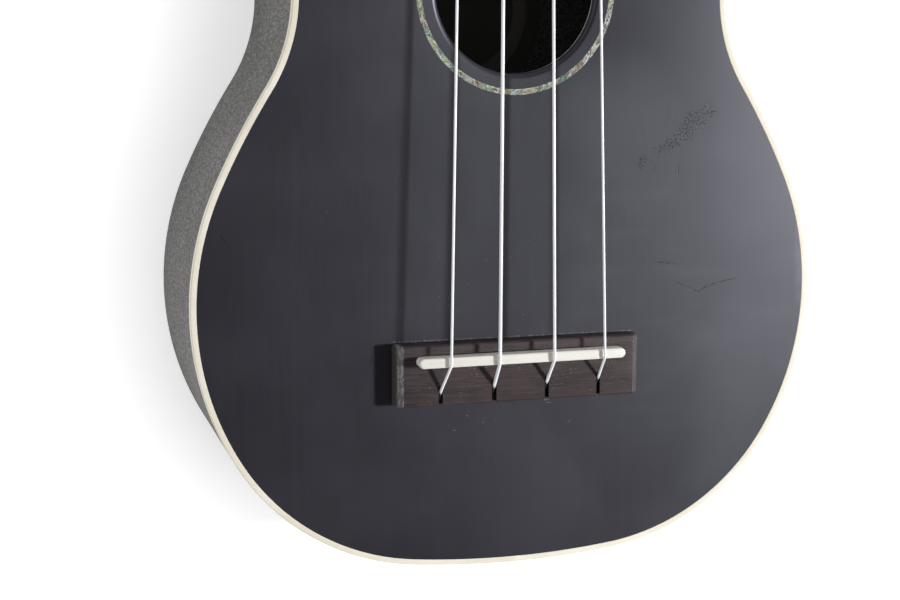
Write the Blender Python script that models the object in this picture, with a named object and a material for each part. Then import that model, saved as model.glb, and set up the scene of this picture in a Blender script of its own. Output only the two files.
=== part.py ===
"""Soprano ukulele with a black top, cream binding, slotted bridge and four open-geared tuners.

Metres, +Z up. The instrument lies on its back. Its flat back is the plane z = 0, with the origin under
the middle of the lower bout, and the neck runs along +Y. The body is a little deeper at the tail, so the
top, the bridge, the neck and the strings are built in the frame of the top's face, which is an empty
tilted by that taper. In that frame Y starts at the tail's edge and Z at the top's face.
"""

import math

import bmesh
import bpy
from mathutils import Matrix, Vector

mm = 0.001
deg = math.pi / 180

# Joints between pieces
SEAT = 0.3 * mm  # gap that a glued or resting piece keeps
FINE = 0.15 * mm  # the same for frets

# Body outline: radius and sweep of the tangent arcs of the right half, from the tail to the neck.
# A negative radius curves the other way, at the waist. The last arc closes on the centre line.
OUTLINE = [(249.35, 6.55), (63.79, 52.05), (79.26, 55.86), (198.58, 8.2), (-44.81, 50.81), (46.65, 88.83)]
BODY_LENGTH = 233.1 * mm
TAIL_DEPTH = 59.0 * mm
NECK_DEPTH = 56.5 * mm
ORIGIN_Y = 80.0 * mm
SAG = 0.12 * mm  # how far a straight facet may leave the true curve

TOP_THICKNESS = 2.0 * mm
BACK_THICKNESS = 2.0 * mm
SIDE_THICKNESS = 1.8 * mm
BINDING_WIDTH = 1.6 * mm
BINDING_HEIGHT = 3.0 * mm
LINING_WIDTH = 4.8 * mm
LINING_FOOT = 2.2 * mm
LINING_HEIGHT = 8.0 * mm

HOLE_Y = 155.7 * mm
HOLE_RADIUS = 21.8 * mm
HOLE_ROUNDING = 1.3 * mm
HOLE_SIDES = 44
ROSETTE_RADII = (25.85 * mm, 27.35 * mm)
ROSETTE_THICKNESS = 0.9 * mm

# Bridge and saddle
BRIDGE_Y = (46.7 * mm, 63.2 * mm)
BRIDGE_HALF = 34.55 * mm
BRIDGE_HEIGHT = 5.2 * mm
BRIDGE_END = (2.2 * mm, 1.0 * mm)  # length and drop of the bevel at each end
BRIDGE_LEAN = 0.6 * mm  # of each end's wall, up to the bevel
BRIDGE_ROUNDING = 0.45 * mm
SADDLE_Y = 59.0 * mm
SADDLE_HALF = 28.9 * mm
SADDLE_THICKNESS = 2.7 * mm
SADDLE_BASE = 1.4 * mm
SADDLE_TOP = 8.75 * mm
SADDLE_ROUNDING = 1.1 * mm
SLOT_ROOM = 0.18 * mm  # beside the string, and before it where it leaves the slot
SLOT_FLOOR = 0.9 * mm
KNOT_BORE = 1.3 * mm
KNOT_Z = 3.7 * mm
KNOT_DEPTH = 2.6 * mm
KNOT_INSET = 0.3 * mm  # of the string's end from the bridge's rear face

# Neck, fretboard and head
SCALE_LENGTH = 346.0 * mm
NUT_Y = SADDLE_Y + SCALE_LENGTH
NUT_THICKNESS = 4.0 * mm
NUT_WIDTH = 35.0 * mm
HEEL_WIDTH = 43.0 * mm
BOARD_END_Y = 226.0 * mm
BOARD_THICKNESS = 2.9 * mm
FRET_COUNT = 12
FRET_WIDTH = 2.0 * mm
FRET_HEIGHT = 0.9 * mm
FRET_TANG = (0.5 * mm, 1.4 * mm)
NECK_THICKNESS = 12.5 * mm
NECK_THICKENING = 2.0 * mm
HEEL_LENGTH = 37.0 * mm
HEEL_FULL_DEPTH = 65.0 * mm
HEEL_CAP_THICKNESS = 2.0 * mm
HEEL_CAP_LENGTH = 12.0 * mm
HEEL_SIDES, HEEL_BACK = 0.85, 0.95  # exponents of the rounded section
NECK_START = BODY_LENGTH - 3.0 * mm  # its end is then cut to fit the body
HEAD_ANGLE = 12.0 * deg
HEAD_THICKNESS = 10.7 * mm
FACE_THICKNESS = 1.5 * mm
FACE_Z = SEAT + FACE_THICKNESS  # the head's front face
HEAD_SHOULDER = [(-16.0, 42.0), (14.0, 39.5)]
HEAD_EDGE = 90.0 * mm
HEAD_CORNER = (7.0, 80.0)
HEAD_SAG = 0.06 * mm
NECK_END = NUT_Y + NUT_THICKNESS + SEAT
NECK_BLEND = 20.0 * mm  # over which the round neck grows square towards the head

# Strings: diameter, X of the slot and Y where the string leaves it, and X at the saddle and at the nut
STRINGS = {
    "g": (0.75, -22.2, 50.7, -20.5, -13.8),
    "c": (0.95, -7.3, 51.6, -7.1, -4.4),
    "e": (0.85, 7.6, 51.8, 8.2, 4.9),
    "a": (0.70, 22.4, 52.0, 22.6, 14.4),
}
CREST_BACK = 0.7 * mm  # the string bends behind the middle of the saddle
KNOT_RADIUS = 0.9 * mm
STRING_Z_SADDLE = 9.5 * mm
STRING_Z_NUT = 4.6 * mm
TURNS = 2.5
TURN_PITCH = 1.4 * mm
FIRST_TURN = 1.5 * mm
TAIL = 1.6 * mm
LOOP_POINTS = 24
STRING_LEAST_GAP = 0.4 * mm

# Tuners: side of the head, and the post's place on it
TUNERS = {"g": (-1, 16.0, 32.0), "c": (-1, 17.5, 76.0), "e": (1, 17.5, 76.0), "a": (1, 16.0, 32.0)}
TEETH = 14
GEAR_PITCH_RADIUS = 4.6 * mm
GEAR_THICKNESS = 3.0 * mm
GEAR_Z = 4.9 * mm
WORM_PITCH_RADIUS = 2.4 * mm
WORM_HALF = 3.7 * mm
ADDENDUM = 0.55 * mm
DEDENDUM = 0.8 * mm
LEAD = 2 * math.pi * GEAR_PITCH_RADIUS / TEETH
WORM_DISTANCE = GEAR_PITCH_RADIUS + WORM_PITCH_RADIUS
SHAFT_RADIUS = 1.4 * mm
EAR_X = (4.2 * mm, 5.5 * mm)
EAR_TOP = 7.6 * mm
EAR_HALF = 2.9 * mm
PLATE_THICKNESS = 1.2 * mm
PLATE_HALF = 6.6 * mm
PLATE_Y = (-9.2 * mm, 13.6 * mm)
POST_RADIUS = 2.5 * mm
POST_WAIST = 2.3 * mm
POST_RISE = 10.4 * mm
STRING_HOLE_RISE = 7.2 * mm
BUSH_RADIUS = 4.8 * mm
BUSH_BARREL = 3.9 * mm
BUSH_BORE = 2.9 * mm
BUSH_FLANGE = 1.2 * mm
BUSH_DEPTH = 6.0 * mm
KNOB_START = 13.0 * mm


def clear_scene():
    for old in list(bpy.data.objects):
        bpy.data.objects.remove(old, do_unlink=True)


# Materials


def material(name, colour, roughness, metallic=0.0):
    made = bpy.data.materials.new(name)
    made.use_nodes = True
    shader = made.node_tree.nodes["Principled BSDF"]
    shader.inputs["Base Color"].default_value = (*colour, 1.0)
    shader.inputs["Roughness"].default_value = roughness
    shader.inputs["Metallic"].default_value = metallic
    made.diffuse_color = (*colour, 1.0)
    return made


def make_materials():
    return {
        "black_top": material("black_top", (0.035, 0.036, 0.042), 0.45),
        "grey_side": material("grey_side", (0.13, 0.13, 0.135), 0.7),
        "binding_plastic": material("binding_plastic", (0.82, 0.76, 0.62), 0.35),
        "shell": material("shell", (0.42, 0.62, 0.58), 0.2),
        "inner_wood": material("inner_wood", (0.34, 0.23, 0.13), 0.8),
        "rosewood": material("rosewood", (0.075, 0.05, 0.045), 0.5),
        "bone": material("bone", (0.86, 0.83, 0.74), 0.3),
        "neck_wood": material("neck_wood", (0.045, 0.043, 0.045), 0.5),
        "fret_wire": material("fret_wire", (0.72, 0.71, 0.68), 0.25, 1.0),
        "nylon": material("nylon", (0.85, 0.86, 0.87), 0.25),
        "nickel": material("nickel", (0.7, 0.69, 0.67), 0.28, 1.0),
        "brass": material("brass", (0.75, 0.56, 0.25), 0.3, 1.0),
        "button": material("button", (0.84, 0.8, 0.7), 0.25),
    }


# Shape tools. Each returns a mesh, and node() makes the named object from it.


def mesh_from(bm):
    bmesh.ops.remove_doubles(bm, verts=bm.verts, dist=1e-7)
    bmesh.ops.recalc_face_normals(bm, faces=bm.faces)
    mesh = bpy.data.meshes.new("shape")
    bm.to_mesh(mesh)
    bm.free()
    return mesh


def loft(sections, ring=False):
    """A skin over sections with the same number of points: capped, or closed on itself as a ring."""
    bm = bmesh.new()
    rows = [[bm.verts.new(point) for point in section] for section in sections]
    pairs = list(zip(rows, rows[1:]))
    if ring:
        pairs.append((rows[-1], rows[0]))
    else:
        bm.faces.new(rows[0])
        bm.faces.new(rows[-1])
    count = len(rows[0])
    for low, high in pairs:
        for i in range(count):
            j = (i + 1) % count
            bm.faces.new((low[i], low[j], high[j], high[i]))
    return mesh_from(bm)


def prism(outline, z0, z1):
    return loft([[(x, y, z) for x, y in outline] for z in (z0, z1)])


def box(x0, x1, y0, y1, z0, z1):
    return prism([(x0, y0), (x1, y0), (x1, y1), (x0, y1)], z0, z1)


def turned(profile, sides, axis="Z"):
    """A profile of (radius, height) points spun about its axis; it starts and ends on the axis."""
    bm = bmesh.new()
    along = [Vector((r, 0, z)) for r, z in profile]
    verts = [bm.verts.new(point) for point in along]
    edges = [bm.edges.new(pair) for pair in zip(verts, verts[1:])]
    bmesh.ops.spin(
        bm,
        geom=verts + edges,
        cent=(0, 0, 0),
        axis=(0, 0, 1),
        angle=2 * math.pi,
        steps=sides,
        use_merge=True,
        use_duplicate=False,
    )
    if axis == "X":
        bmesh.ops.rotate(bm, verts=bm.verts, cent=(0, 0, 0), matrix=Matrix.Rotation(90 * deg, 3, "Y"))
    if axis == "Y":
        bmesh.ops.rotate(bm, verts=bm.verts, cent=(0, 0, 0), matrix=Matrix.Rotation(-90 * deg, 3, "X"))
    return mesh_from(bm)


def rod(radius, start, end, sides, axis="Z"):
    return turned([(0, start), (radius, start), (radius, end), (0, end)], sides, axis)


def moved(mesh, x=0.0, y=0.0, z=0.0):
    mesh.transform(Matrix.Translation((x, y, z)))
    return mesh


def combined(mesh, joins=(), cuts=()):
    """The mesh with others joined to it and then cut from it."""
    base = bpy.data.objects.new("base", mesh)
    bpy.context.scene.collection.objects.link(base)
    helpers = []
    for operation, others in (("UNION", joins), ("DIFFERENCE", cuts)):
        for other in others:
            helper = bpy.data.objects.new("helper", other)
            helper.hide_render = True
            helper.display_type = "WIRE"
            bpy.context.scene.collection.objects.link(helper)
            helpers.append(helper)
            step = base.modifiers.new(operation.title(), "BOOLEAN")
            step.operation = operation
            step.object = helper
    bpy.context.view_layer.update()
    result = bpy.data.meshes.new_from_object(base.evaluated_get(bpy.context.evaluated_depsgraph_get()))
    for helper in [base, *helpers]:
        bpy.data.objects.remove(helper, do_unlink=True)
    return result


def rounded(mesh, radius, segments=1, sharpest=40 * deg):
    """The mesh with its sharp edges bevelled."""
    bm = bmesh.new()
    bm.from_mesh(mesh)
    sharp = [e for e in bm.edges if e.is_manifold and e.calc_face_angle() > sharpest]
    bmesh.ops.bevel(
        bm, geom=sharp, offset=radius, segments=segments, profile=0.5, affect="EDGES", clamp_overlap=True
    )
    return mesh_from(bm)


def node(name, mesh, finish, parent=None, place=(0, 0, 0), smooth=None):
    made = bpy.data.objects.new(name, mesh)
    bpy.context.scene.collection.objects.link(made)
    made.parent = parent
    made.location = place
    mesh.materials.clear()
    mesh.materials.append(MATERIALS[finish])
    if smooth:
        mesh.shade_smooth()
        mesh.set_sharp_from_angle(angle=smooth * deg)
    return made


def frame(name, parent, location, turn):
    made = bpy.data.objects.new(name, None)
    bpy.context.scene.collection.objects.link(made)
    made.parent = parent
    made.empty_display_size = 0.01
    made.matrix_basis = Matrix.Translation(location) @ turn.to_4x4()
    return made


# Outlines


def arc_chain(start, heading, arcs, inset=0.0, sag=SAG):
    """Points along tangent arcs, given as (radius in mm, sweep in degrees), and the last heading."""
    x, y = start
    points = [(x, y)]
    for radius, sweep in arcs:
        r = radius * mm - inset
        total = math.copysign(sweep * deg, radius)
        count = max(2, round(abs(total) * math.sqrt(abs(radius) * mm / (8 * sag))))
        cx, cy = x - r * math.sin(heading), y + r * math.cos(heading)
        for i in range(1, count + 1):
            at = heading + total * i / count
            points.append((cx + r * math.sin(at), cy - r * math.cos(at)))
        heading += total
        x, y = points[-1]
    return points, heading


def half_body(inset=0.0, sag=SAG):
    """The right half of the body's outline, from the tail to the neck, drawn inwards by inset."""
    points, heading = arc_chain((0, 0), 0.0, OUTLINE)
    last = points[-1][0] / math.sin(heading) / mm
    arcs = [*OUTLINE, (last, 180 - heading / deg)]
    points, _ = arc_chain((0, inset), 0.0, arcs, inset, sag)
    return [*points[:-1], (0.0, points[-1][1])]


def whole_body(inset=0.0, sag=SAG):
    half = half_body(inset, sag)
    return half + [(-x, y) for x, y in half[-2:0:-1]]


def half_width(y, inset=0.0):
    """The outline's half width at y."""
    half = half_body(inset)
    return max(
        xa + (xb - xa) * (y - ya) / (yb - ya) for (xa, ya), (xb, yb) in zip(half, half[1:]) if ya <= y <= yb
    )


def end_curve(inset, half, at_neck):
    """The outline across the tail or the neck end, from half on the right to half on the left."""
    points = half_body(inset)
    if at_neck:
        points = points[::-1]
    kept = [points[0]]
    for (xa, ya), (xb, yb) in zip(points, points[1:]):
        if xb >= half:
            kept.append((half, ya + (yb - ya) * (half - xa) / (xb - xa)))
            break
        kept.append((xb, yb))
    return kept[:0:-1] + [(-x, y) for x, y in kept]


# Frames

TAPER = math.atan((TAIL_DEPTH - NECK_DEPTH) / BODY_LENGTH)


def back_z(y):
    """The back's outer face in the top's frame."""
    return -TAIL_DEPTH + math.tan(TAPER) * y


def back_y(y):
    """A place along the top as a place along the back."""
    return (y - ORIGIN_Y) / math.cos(TAPER)


# Body


def back_loop(inset, z, sag=SAG):
    return [(x, back_y(y), z) for x, y in whole_body(inset, sag)]


def make_back():
    edge = 0.9 * mm
    loops = [back_loop(edge, 0), back_loop(0, edge), back_loop(0, BACK_THICKNESS)]
    node("back", loft(loops), "grey_side", smooth=30)


def wall(half, profile):
    """Sections along half an outline for a strip; profile gives (inset, z) corners for a place on it."""
    loops = [half_body(inset) for inset, _ in profile(0)]
    sections = []
    for i in half:
        heights = [z for _, z in profile(loops[0][i][1])]
        sections.append([(loop[i][0], loop[i][1], z) for loop, z in zip(loops, heights)])
    return sections


def make_sides(top):
    def profile(y):
        low = back_z(y) + BACK_THICKNESS + SEAT
        high = -BINDING_HEIGHT - SEAT
        return [(0, low), (0, high), (SIDE_THICKNESS, high), (SIDE_THICKNESS, low)]

    sections = wall(range(len(half_body())), profile)
    for end in (0, -1):
        sections[end] = [(SEAT / 2, y, z) for _, y, z in sections[end]]
    for name, side in (("side_right", 1), ("side_left", -1)):
        mirrored = [[(side * x, y, z) for x, y, z in section] for section in sections]
        node(name, loft(mirrored), "grey_side", top, smooth=30)


def make_linings(top):
    sag = 2 * SAG
    outer, inner, foot = (
        half_body(SIDE_THICKNESS + SEAT + extra, sag) for extra in (0, LINING_WIDTH, LINING_FOOT)
    )
    block_half = 22.5 * mm
    run = [i for i, (x, y) in enumerate(inner) if x > block_half]
    for side_name, side in (("right", 1), ("left", -1)):
        for level in ("top", "back"):
            sections = []
            for i in run:
                if level == "top":
                    wide = -TOP_THICKNESS - SEAT
                    thin = wide - LINING_HEIGHT
                else:
                    wide = back_z(outer[i][1]) + BACK_THICKNESS + SEAT
                    thin = wide + LINING_HEIGHT
                corners = ((outer, wide), (inner, wide), (foot, thin), (outer, thin))
                sections.append([(side * loop[i][0], loop[i][1], z) for loop, z in corners])
            node(f"{level}_lining_{side_name}", loft(sections), "inner_wood", top)


def make_blocks(top):
    blocks = (("tail_block", 22.0 * mm, 11.0 * mm, False), ("neck_block", 20.0 * mm, 15.0 * mm, True))
    for name, half, thickness, at_neck in blocks:
        curve = end_curve(SIDE_THICKNESS + SEAT, half, at_neck)
        flat_y = BODY_LENGTH - SIDE_THICKNESS - thickness if at_neck else SIDE_THICKNESS + thickness
        outline = [*curve, (-half, flat_y), (half, flat_y)]
        low = [(x, y, back_z(y) + BACK_THICKNESS + SEAT) for x, y in outline]
        high = [(x, y, -TOP_THICKNESS - SEAT) for x, y in outline]
        node(name, loft([low, high]), "inner_wood", top)


def brace(half, width, height, into):
    """A bar along X whose ends taper off; into is the direction it stands, up or down."""
    taper, tip = 16.0 * mm, 3.0 * mm
    profile = [(-half, 0), (half, 0), (half, tip), (half - taper, height), (taper - half, height), (-half, tip)]
    return loft([[(x, y, into * z) for x, z in profile] for y in (-width / 2, width / 2)])


def make_braces(top):
    clear = SIDE_THICKNESS + LINING_WIDTH + 3 * SEAT
    for name, y in (("upper_top_brace", 194.0 * mm), ("lower_top_brace", 121.0 * mm)):
        half = min(half_width(y - 3 * mm, clear), half_width(y + 3 * mm, clear))
        node(name, brace(half, 6 * mm, 9 * mm, -1), "inner_wood", top, (0, y, -TOP_THICKNESS - SEAT))
    for name, y in (("lower_back_brace", 78.0 * mm), ("upper_back_brace", 186.0 * mm)):
        half = min(half_width(y - 4 * mm, clear), half_width(y + 4 * mm, clear))
        node(name, brace(half, 7 * mm, 8 * mm, 1), "inner_wood", None, (0, back_y(y), BACK_THICKNESS + SEAT))
    plate = box(-32 * mm, 32 * mm, 44 * mm, 76 * mm, -TOP_THICKNESS - SEAT - 2 * mm, -TOP_THICKNESS - SEAT)
    node("bridge_plate", rounded(plate, 0.8 * mm), "inner_wood", top)


def make_top(top):
    inset = BINDING_WIDTH + SEAT
    plate = prism(whole_body(inset), -TOP_THICKNESS, 0)
    over = 2 * mm
    r, edge = HOLE_RADIUS, HOLE_ROUNDING
    hole = turned(
        [
            (0, over),
            (r + edge + over, over),
            (r + edge, 0),
            (r, -edge),
            (r, -TOP_THICKNESS - over),
            (0, -TOP_THICKNESS - over),
        ],
        HOLE_SIDES,
    )
    inner, outer = ROSETTE_RADII
    depth = ROSETTE_THICKNESS + SEAT
    groove = ring_mesh(inner - SEAT, outer + SEAT, -depth, over, HOLE_SIDES)
    mesh = combined(plate, cuts=[moved(hole, y=HOLE_Y), moved(groove, y=HOLE_Y)])
    node("soundboard", mesh, "black_top", top)
    rosette = ring_mesh(inner, outer, -ROSETTE_THICKNESS, 0, HOLE_SIDES)
    node("rosette", rosette, "shell", top, (0, HOLE_Y, 0))

    chamfer = 0.5 * mm
    corners = [
        (0, -BINDING_HEIGHT),
        (0, -chamfer),
        (chamfer, 0),
        (BINDING_WIDTH, 0),
        (BINDING_WIDTH, -BINDING_HEIGHT),
    ]
    loops = [[(x, y, z) for x, y in whole_body(inset)] for inset, z in corners]
    sections = [list(section) for section in zip(*loops)]
    node("top_binding", loft(sections, ring=True), "binding_plastic", top, smooth=30)


def ring_mesh(inner, outer, z0, z1, sides):
    corners = ((inner, z0), (outer, z0), (outer, z1), (inner, z1))
    sections = []
    for i in range(sides):
        a = 2 * math.pi * i / sides
        sections.append([(r * math.cos(a), r * math.sin(a), z) for r, z in corners])
    return loft(sections, ring=True)


# Bridge and saddle


def stadium(half, thickness, steps=6):
    """A strip along X with round ends."""
    r = thickness / 2
    points = []
    for side in (1, -1):
        for i in range(steps + 1):
            a = -90 * deg + 180 * deg * i / steps
            points.append((side * (half - r + r * math.cos(a)), side * r * math.sin(a)))
    return points


def make_bridge(top):
    rear, front = BRIDGE_Y
    length, drop = BRIDGE_END
    profile = [
        (-BRIDGE_HALF, SEAT),
        (BRIDGE_HALF, SEAT),
        (BRIDGE_HALF - BRIDGE_LEAN, BRIDGE_HEIGHT - drop),
        (BRIDGE_HALF - length, BRIDGE_HEIGHT),
        (length - BRIDGE_HALF, BRIDGE_HEIGHT),
        (BRIDGE_LEAN - BRIDGE_HALF, BRIDGE_HEIGHT - drop),
    ]
    block = loft([[(x, y, z) for x, z in profile] for y in (rear, front)])
    block = rounded(block, BRIDGE_ROUNDING, sharpest=70 * deg)
    cuts = [
        moved(
            prism(stadium(SADDLE_HALF + SEAT, SADDLE_THICKNESS + 2 * SEAT), SADDLE_BASE - SEAT, 9 * mm),
            y=SADDLE_Y,
        )
    ]
    for gauge, slot_x, leave_y, _, _ in STRINGS.values():
        half = gauge / 2 + SLOT_ROOM / mm
        end = leave_y + gauge + 2 * SLOT_ROOM / mm
        slot = box((slot_x - half) * mm, (slot_x + half) * mm, rear - mm, end * mm, SLOT_FLOOR, 9 * mm)
        knot = rod(KNOT_BORE, -mm, KNOT_DEPTH, 10, "Y")
        cuts += [slot, moved(knot, slot_x * mm, rear, KNOT_Z)]
    node("bridge", combined(block, cuts=cuts), "rosewood", top)

    bar = prism(stadium(SADDLE_HALF, SADDLE_THICKNESS), SADDLE_BASE, SADDLE_TOP)
    bm = bmesh.new()
    bm.from_mesh(bar)
    rim = [e for e in bm.edges if all(v.co.z > SADDLE_TOP - 1e-6 for v in e.verts)]
    bmesh.ops.bevel(bm, geom=rim, offset=SADDLE_ROUNDING, segments=3, profile=0.5, affect="EDGES", clamp_overlap=True)
    node("saddle", mesh_from(bm), "bone", top, (0, SADDLE_Y, 0), smooth=50)


# Neck


def board_width(y):
    """Width of the fretboard and the neck at y."""
    return NUT_WIDTH + (HEEL_WIDTH - NUT_WIDTH) * (NUT_Y - y) / (NUT_Y - BODY_LENGTH)


def neck_depth(y):
    """How far the neck's rounded back reaches below its top: the shaft, and the heel near the body."""
    shaft = NECK_THICKNESS + NECK_THICKENING * (NUT_Y - y) / (NUT_Y - NECK_START)
    along = (y - NECK_START) / HEEL_LENGTH
    if along >= 1:
        return shaft
    return shaft + (HEEL_FULL_DEPTH - shaft) * (1 - along**1.6) ** 2


def neck_section(y, points=14):
    """A D-shaped section, squarer where the head begins."""
    half, depth = board_width(y) / 2, neck_depth(y)
    square = min(1.0, max(0.0, (y - NECK_END) / NECK_BLEND + 1))
    depth += (HEAD_THICKNESS / math.cos(HEAD_ANGLE) - depth) * square
    # Past the nut the section sinks into the head, which leans back.
    dip = max(0.0, y - NECK_END) * math.tan(HEAD_ANGLE)
    inside = SEAT if y > NECK_END else 0.0
    section = []
    for i in range(points + 1):
        a = math.pi * i / points
        x = (half - inside) * math.copysign(abs(math.cos(a)) ** (HEEL_SIDES - 0.6 * square), math.cos(a))
        z = -(depth + dip - inside) * math.sin(a) ** (HEEL_BACK - 0.7 * square)
        section.append((x, y, min(z, -dip - inside)))
    return section


def head_outline():
    """The head's outline from the nut round to the nut, with an arched end."""
    half = NUT_WIDTH / 2
    points, heading = arc_chain((half, 0), 90 * deg, HEAD_SHOULDER, sag=HEAD_SAG)
    x, y = points[-1]
    line_end = (x + HEAD_EDGE * math.cos(heading), y + HEAD_EDGE * math.sin(heading))
    corner, heading = arc_chain(line_end, heading, [HEAD_CORNER], sag=HEAD_SAG)
    crown = corner[-1][0] / math.sin(heading) / mm
    arch, _ = arc_chain(corner[-1], heading, [(crown, 180 - heading / deg)], sag=HEAD_SAG)
    right = [*points, *corner, *arch[1:-1], (0.0, arch[-1][1])]
    return right + [(-x, y) for x, y in right[-2::-1]]


def make_neck(top, head):
    heel = [NECK_START + HEEL_LENGTH * k for k in (0, 0.1, 0.19, 0.26, 0.34, 0.42, 0.5, 0.6, 0.72, 0.86, 1)]
    shaft_start, blend_start = NECK_START + HEEL_LENGTH, NECK_END - NECK_BLEND
    shaft = [shaft_start + (blend_start - shaft_start) * k for k in (0.25, 1)]
    blend = [blend_start + NECK_BLEND * k for k in (0.25, 0.5, 0.75, 0.9, 1, 1.001, 1.2)]
    body = loft([neck_section(y) for y in heel + shaft + blend])
    nut_half, back = NUT_WIDTH / 2, -9.0 * mm
    slab = prism([(nut_half, back), *head_outline(), (-nut_half, back)], -HEAD_THICKNESS, 0)
    relative = head.matrix_basis
    slab.transform(relative)
    around = 40 * mm
    before = box(-around, around, NECK_END - around, NECK_END - 0.2 * mm, -around, around)
    slab = combined(slab, cuts=[before])
    cap_top = -NECK_DEPTH + SEAT / 2 + HEEL_CAP_THICKNESS
    body_end = [prism(whole_body(-SEAT), -2 * NECK_DEPTH, around) for _ in range(2)]
    cuts = [
        body_end[0],
        box(-around, around, NECK_START - mm, NECK_START + HEEL_LENGTH, -2 * NECK_DEPTH, cap_top + SEAT),
        box(-around, around, NECK_END - mm, NECK_END, 0, mm),
    ]
    for side, x, y in TUNERS.values():
        bore = rod(POST_RADIUS + 0.9 * mm, -HEAD_THICKNESS - mm, mm, 16)
        seat = rod(BUSH_BARREL + SEAT, FACE_Z - BUSH_DEPTH - SEAT, mm, 20)
        for tool in (bore, seat):
            moved(tool, side * x * mm, y * mm)
            tool.transform(relative)
            cuts.append(tool)
    mesh = combined(body, joins=[slab], cuts=cuts)
    node("neck", mesh, "neck_wood", top, smooth=35)

    outline = []
    steps = 10
    for k in range(steps):
        y = NECK_START + HEEL_CAP_LENGTH * (1 - (1 - k / steps) ** 2)
        share = min(1.0, -cap_top / neck_depth(y)) ** (1 / HEEL_BACK)
        half = board_width(y) / 2 * (1 - share**2) ** (HEEL_SIDES / 2)
        outline.append((half, y))
    outline = [p for p in outline if p[0] > 0.4 * mm]
    outline += [(-x, y) for x, y in reversed(outline)]
    cap = prism(outline, cap_top - HEEL_CAP_THICKNESS, cap_top)
    node("heel_cap", combined(cap, cuts=body_end[1:]), "binding_plastic", top)

    low = 0.8 * mm
    outline = head_outline()
    kept = [point for point in outline if point[1] > low]
    face = prism([(nut_half, low), *kept, (-nut_half, low)], SEAT, FACE_Z)
    holes = [
        moved(rod(BUSH_BARREL + SEAT, -mm, 5 * mm, 20), side * x * mm, y * mm) for side, x, y in TUNERS.values()
    ]
    node("headstock_face", combined(face, cuts=holes), "black_top", head)


def fret_y(number):
    return NUT_Y - SCALE_LENGTH * (1 - 2 ** (-number / 12))


def make_fretboard(top):
    low, high = SEAT, SEAT + BOARD_THICKNESS
    slot_half = FRET_TANG[0] / 2 + FINE
    slot_depth = FRET_TANG[1] + FINE
    profile = [(NUT_Y - SEAT, low), (NUT_Y - SEAT, high)]
    for number in range(1, FRET_COUNT + 1):
        y = fret_y(number)
        profile += [
            (y + slot_half, high),
            (y + slot_half, high - slot_depth),
            (y - slot_half, high - slot_depth),
            (y - slot_half, high),
        ]
    profile += [(BOARD_END_Y, high), (BOARD_END_Y, low)]
    sides = [[(side * board_width(y) / 2, y, z) for y, z in profile] for side in (-1, 1)]
    node("fretboard", loft(sides), "rosewood", top)
    for number in range(1, FRET_COUNT + 1):
        make_fret(top, number, high + FINE)


def make_fret(top, number, seat_z):
    """Fret wire: a round crown over a thin tang, with bevelled ends."""
    half, tang = FRET_WIDTH / 2, FRET_TANG[0] / 2
    crown = []
    for i in range(5):
        a = math.pi * i / 4
        crown.append((half * math.cos(a), 0.15 * mm + (FRET_HEIGHT - 0.15 * mm) * math.sin(a)))
    profile = [(half, 0), *crown, (-half, 0), (-tang, 0), (-tang, -FRET_TANG[1]), (tang, -FRET_TANG[1]), (tang, 0)]
    y = fret_y(number)
    reach = board_width(y) / 2 - 0.2 * mm
    sections = [[(side * (reach - 0.6 * max(z, 0)), dy, z) for dy, z in profile] for side in (-1, 1)]
    node(f"fret_{number:02d}", loft(sections), "fret_wire", top, (0, y, seat_z))


def make_nut(top):
    high, half = 5.3 * mm, NUT_WIDTH / 2 - 0.2 * mm
    profile = [(-half, SEAT), (-half, high - 0.7 * mm), (0.7 * mm - half, high)]
    for gauge, *_, nut_x in STRINGS.values():
        room = gauge * mm / 2 + SEAT
        x = nut_x * mm
        floor = STRING_Z_NUT - room
        profile += [(x - room, high), (x - room, floor), (x + room, floor), (x + room, high)]
    profile += [(half - 0.7 * mm, high), (half, high - 0.7 * mm), (half, SEAT)]
    nut = loft([[(x, y, z) for x, z in profile] for y in (NUT_Y, NUT_Y + NUT_THICKNESS)])
    node("nut", nut, "bone", top)


# Tuners. Each is built in its own frame: Z out of the head's back along the post, X out to the button.


def gear_outline():
    """A toothed wheel whose tooth number 0 points along +Y."""
    tip, root = GEAR_PITCH_RADIUS + ADDENDUM, GEAR_PITCH_RADIUS - DEDENDUM
    step = 2 * math.pi / TEETH
    root_half = 0.27 * step
    tip_half = 0.12 * step
    points = []
    for tooth in range(TEETH):
        centre = 90 * deg + tooth * step
        for radius, offset in ((root, -root_half), (tip, -tip_half), (tip, tip_half), (root, root_half)):
            a = centre + offset
            points.append((radius * math.cos(a), radius * math.sin(a)))
    return points


def gear_mesh(worm_side):
    """The wheel's teeth lean like a right-hand thread, to match the worm; one points at the worm."""
    twist = LEAD / (2 * math.pi * WORM_PITCH_RADIUS) / GEAR_PITCH_RADIUS
    sections = []
    for k in (-1, 0, 1):
        z = k * GEAR_THICKNESS / 2
        turn = twist * z + (0 if worm_side > 0 else math.pi)
        c, s = math.cos(turn), math.sin(turn)
        sections.append([(c * x - s * y, s * x + c * y, GEAR_Z + z) for x, y in gear_outline()])
    return loft(sections)


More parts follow.
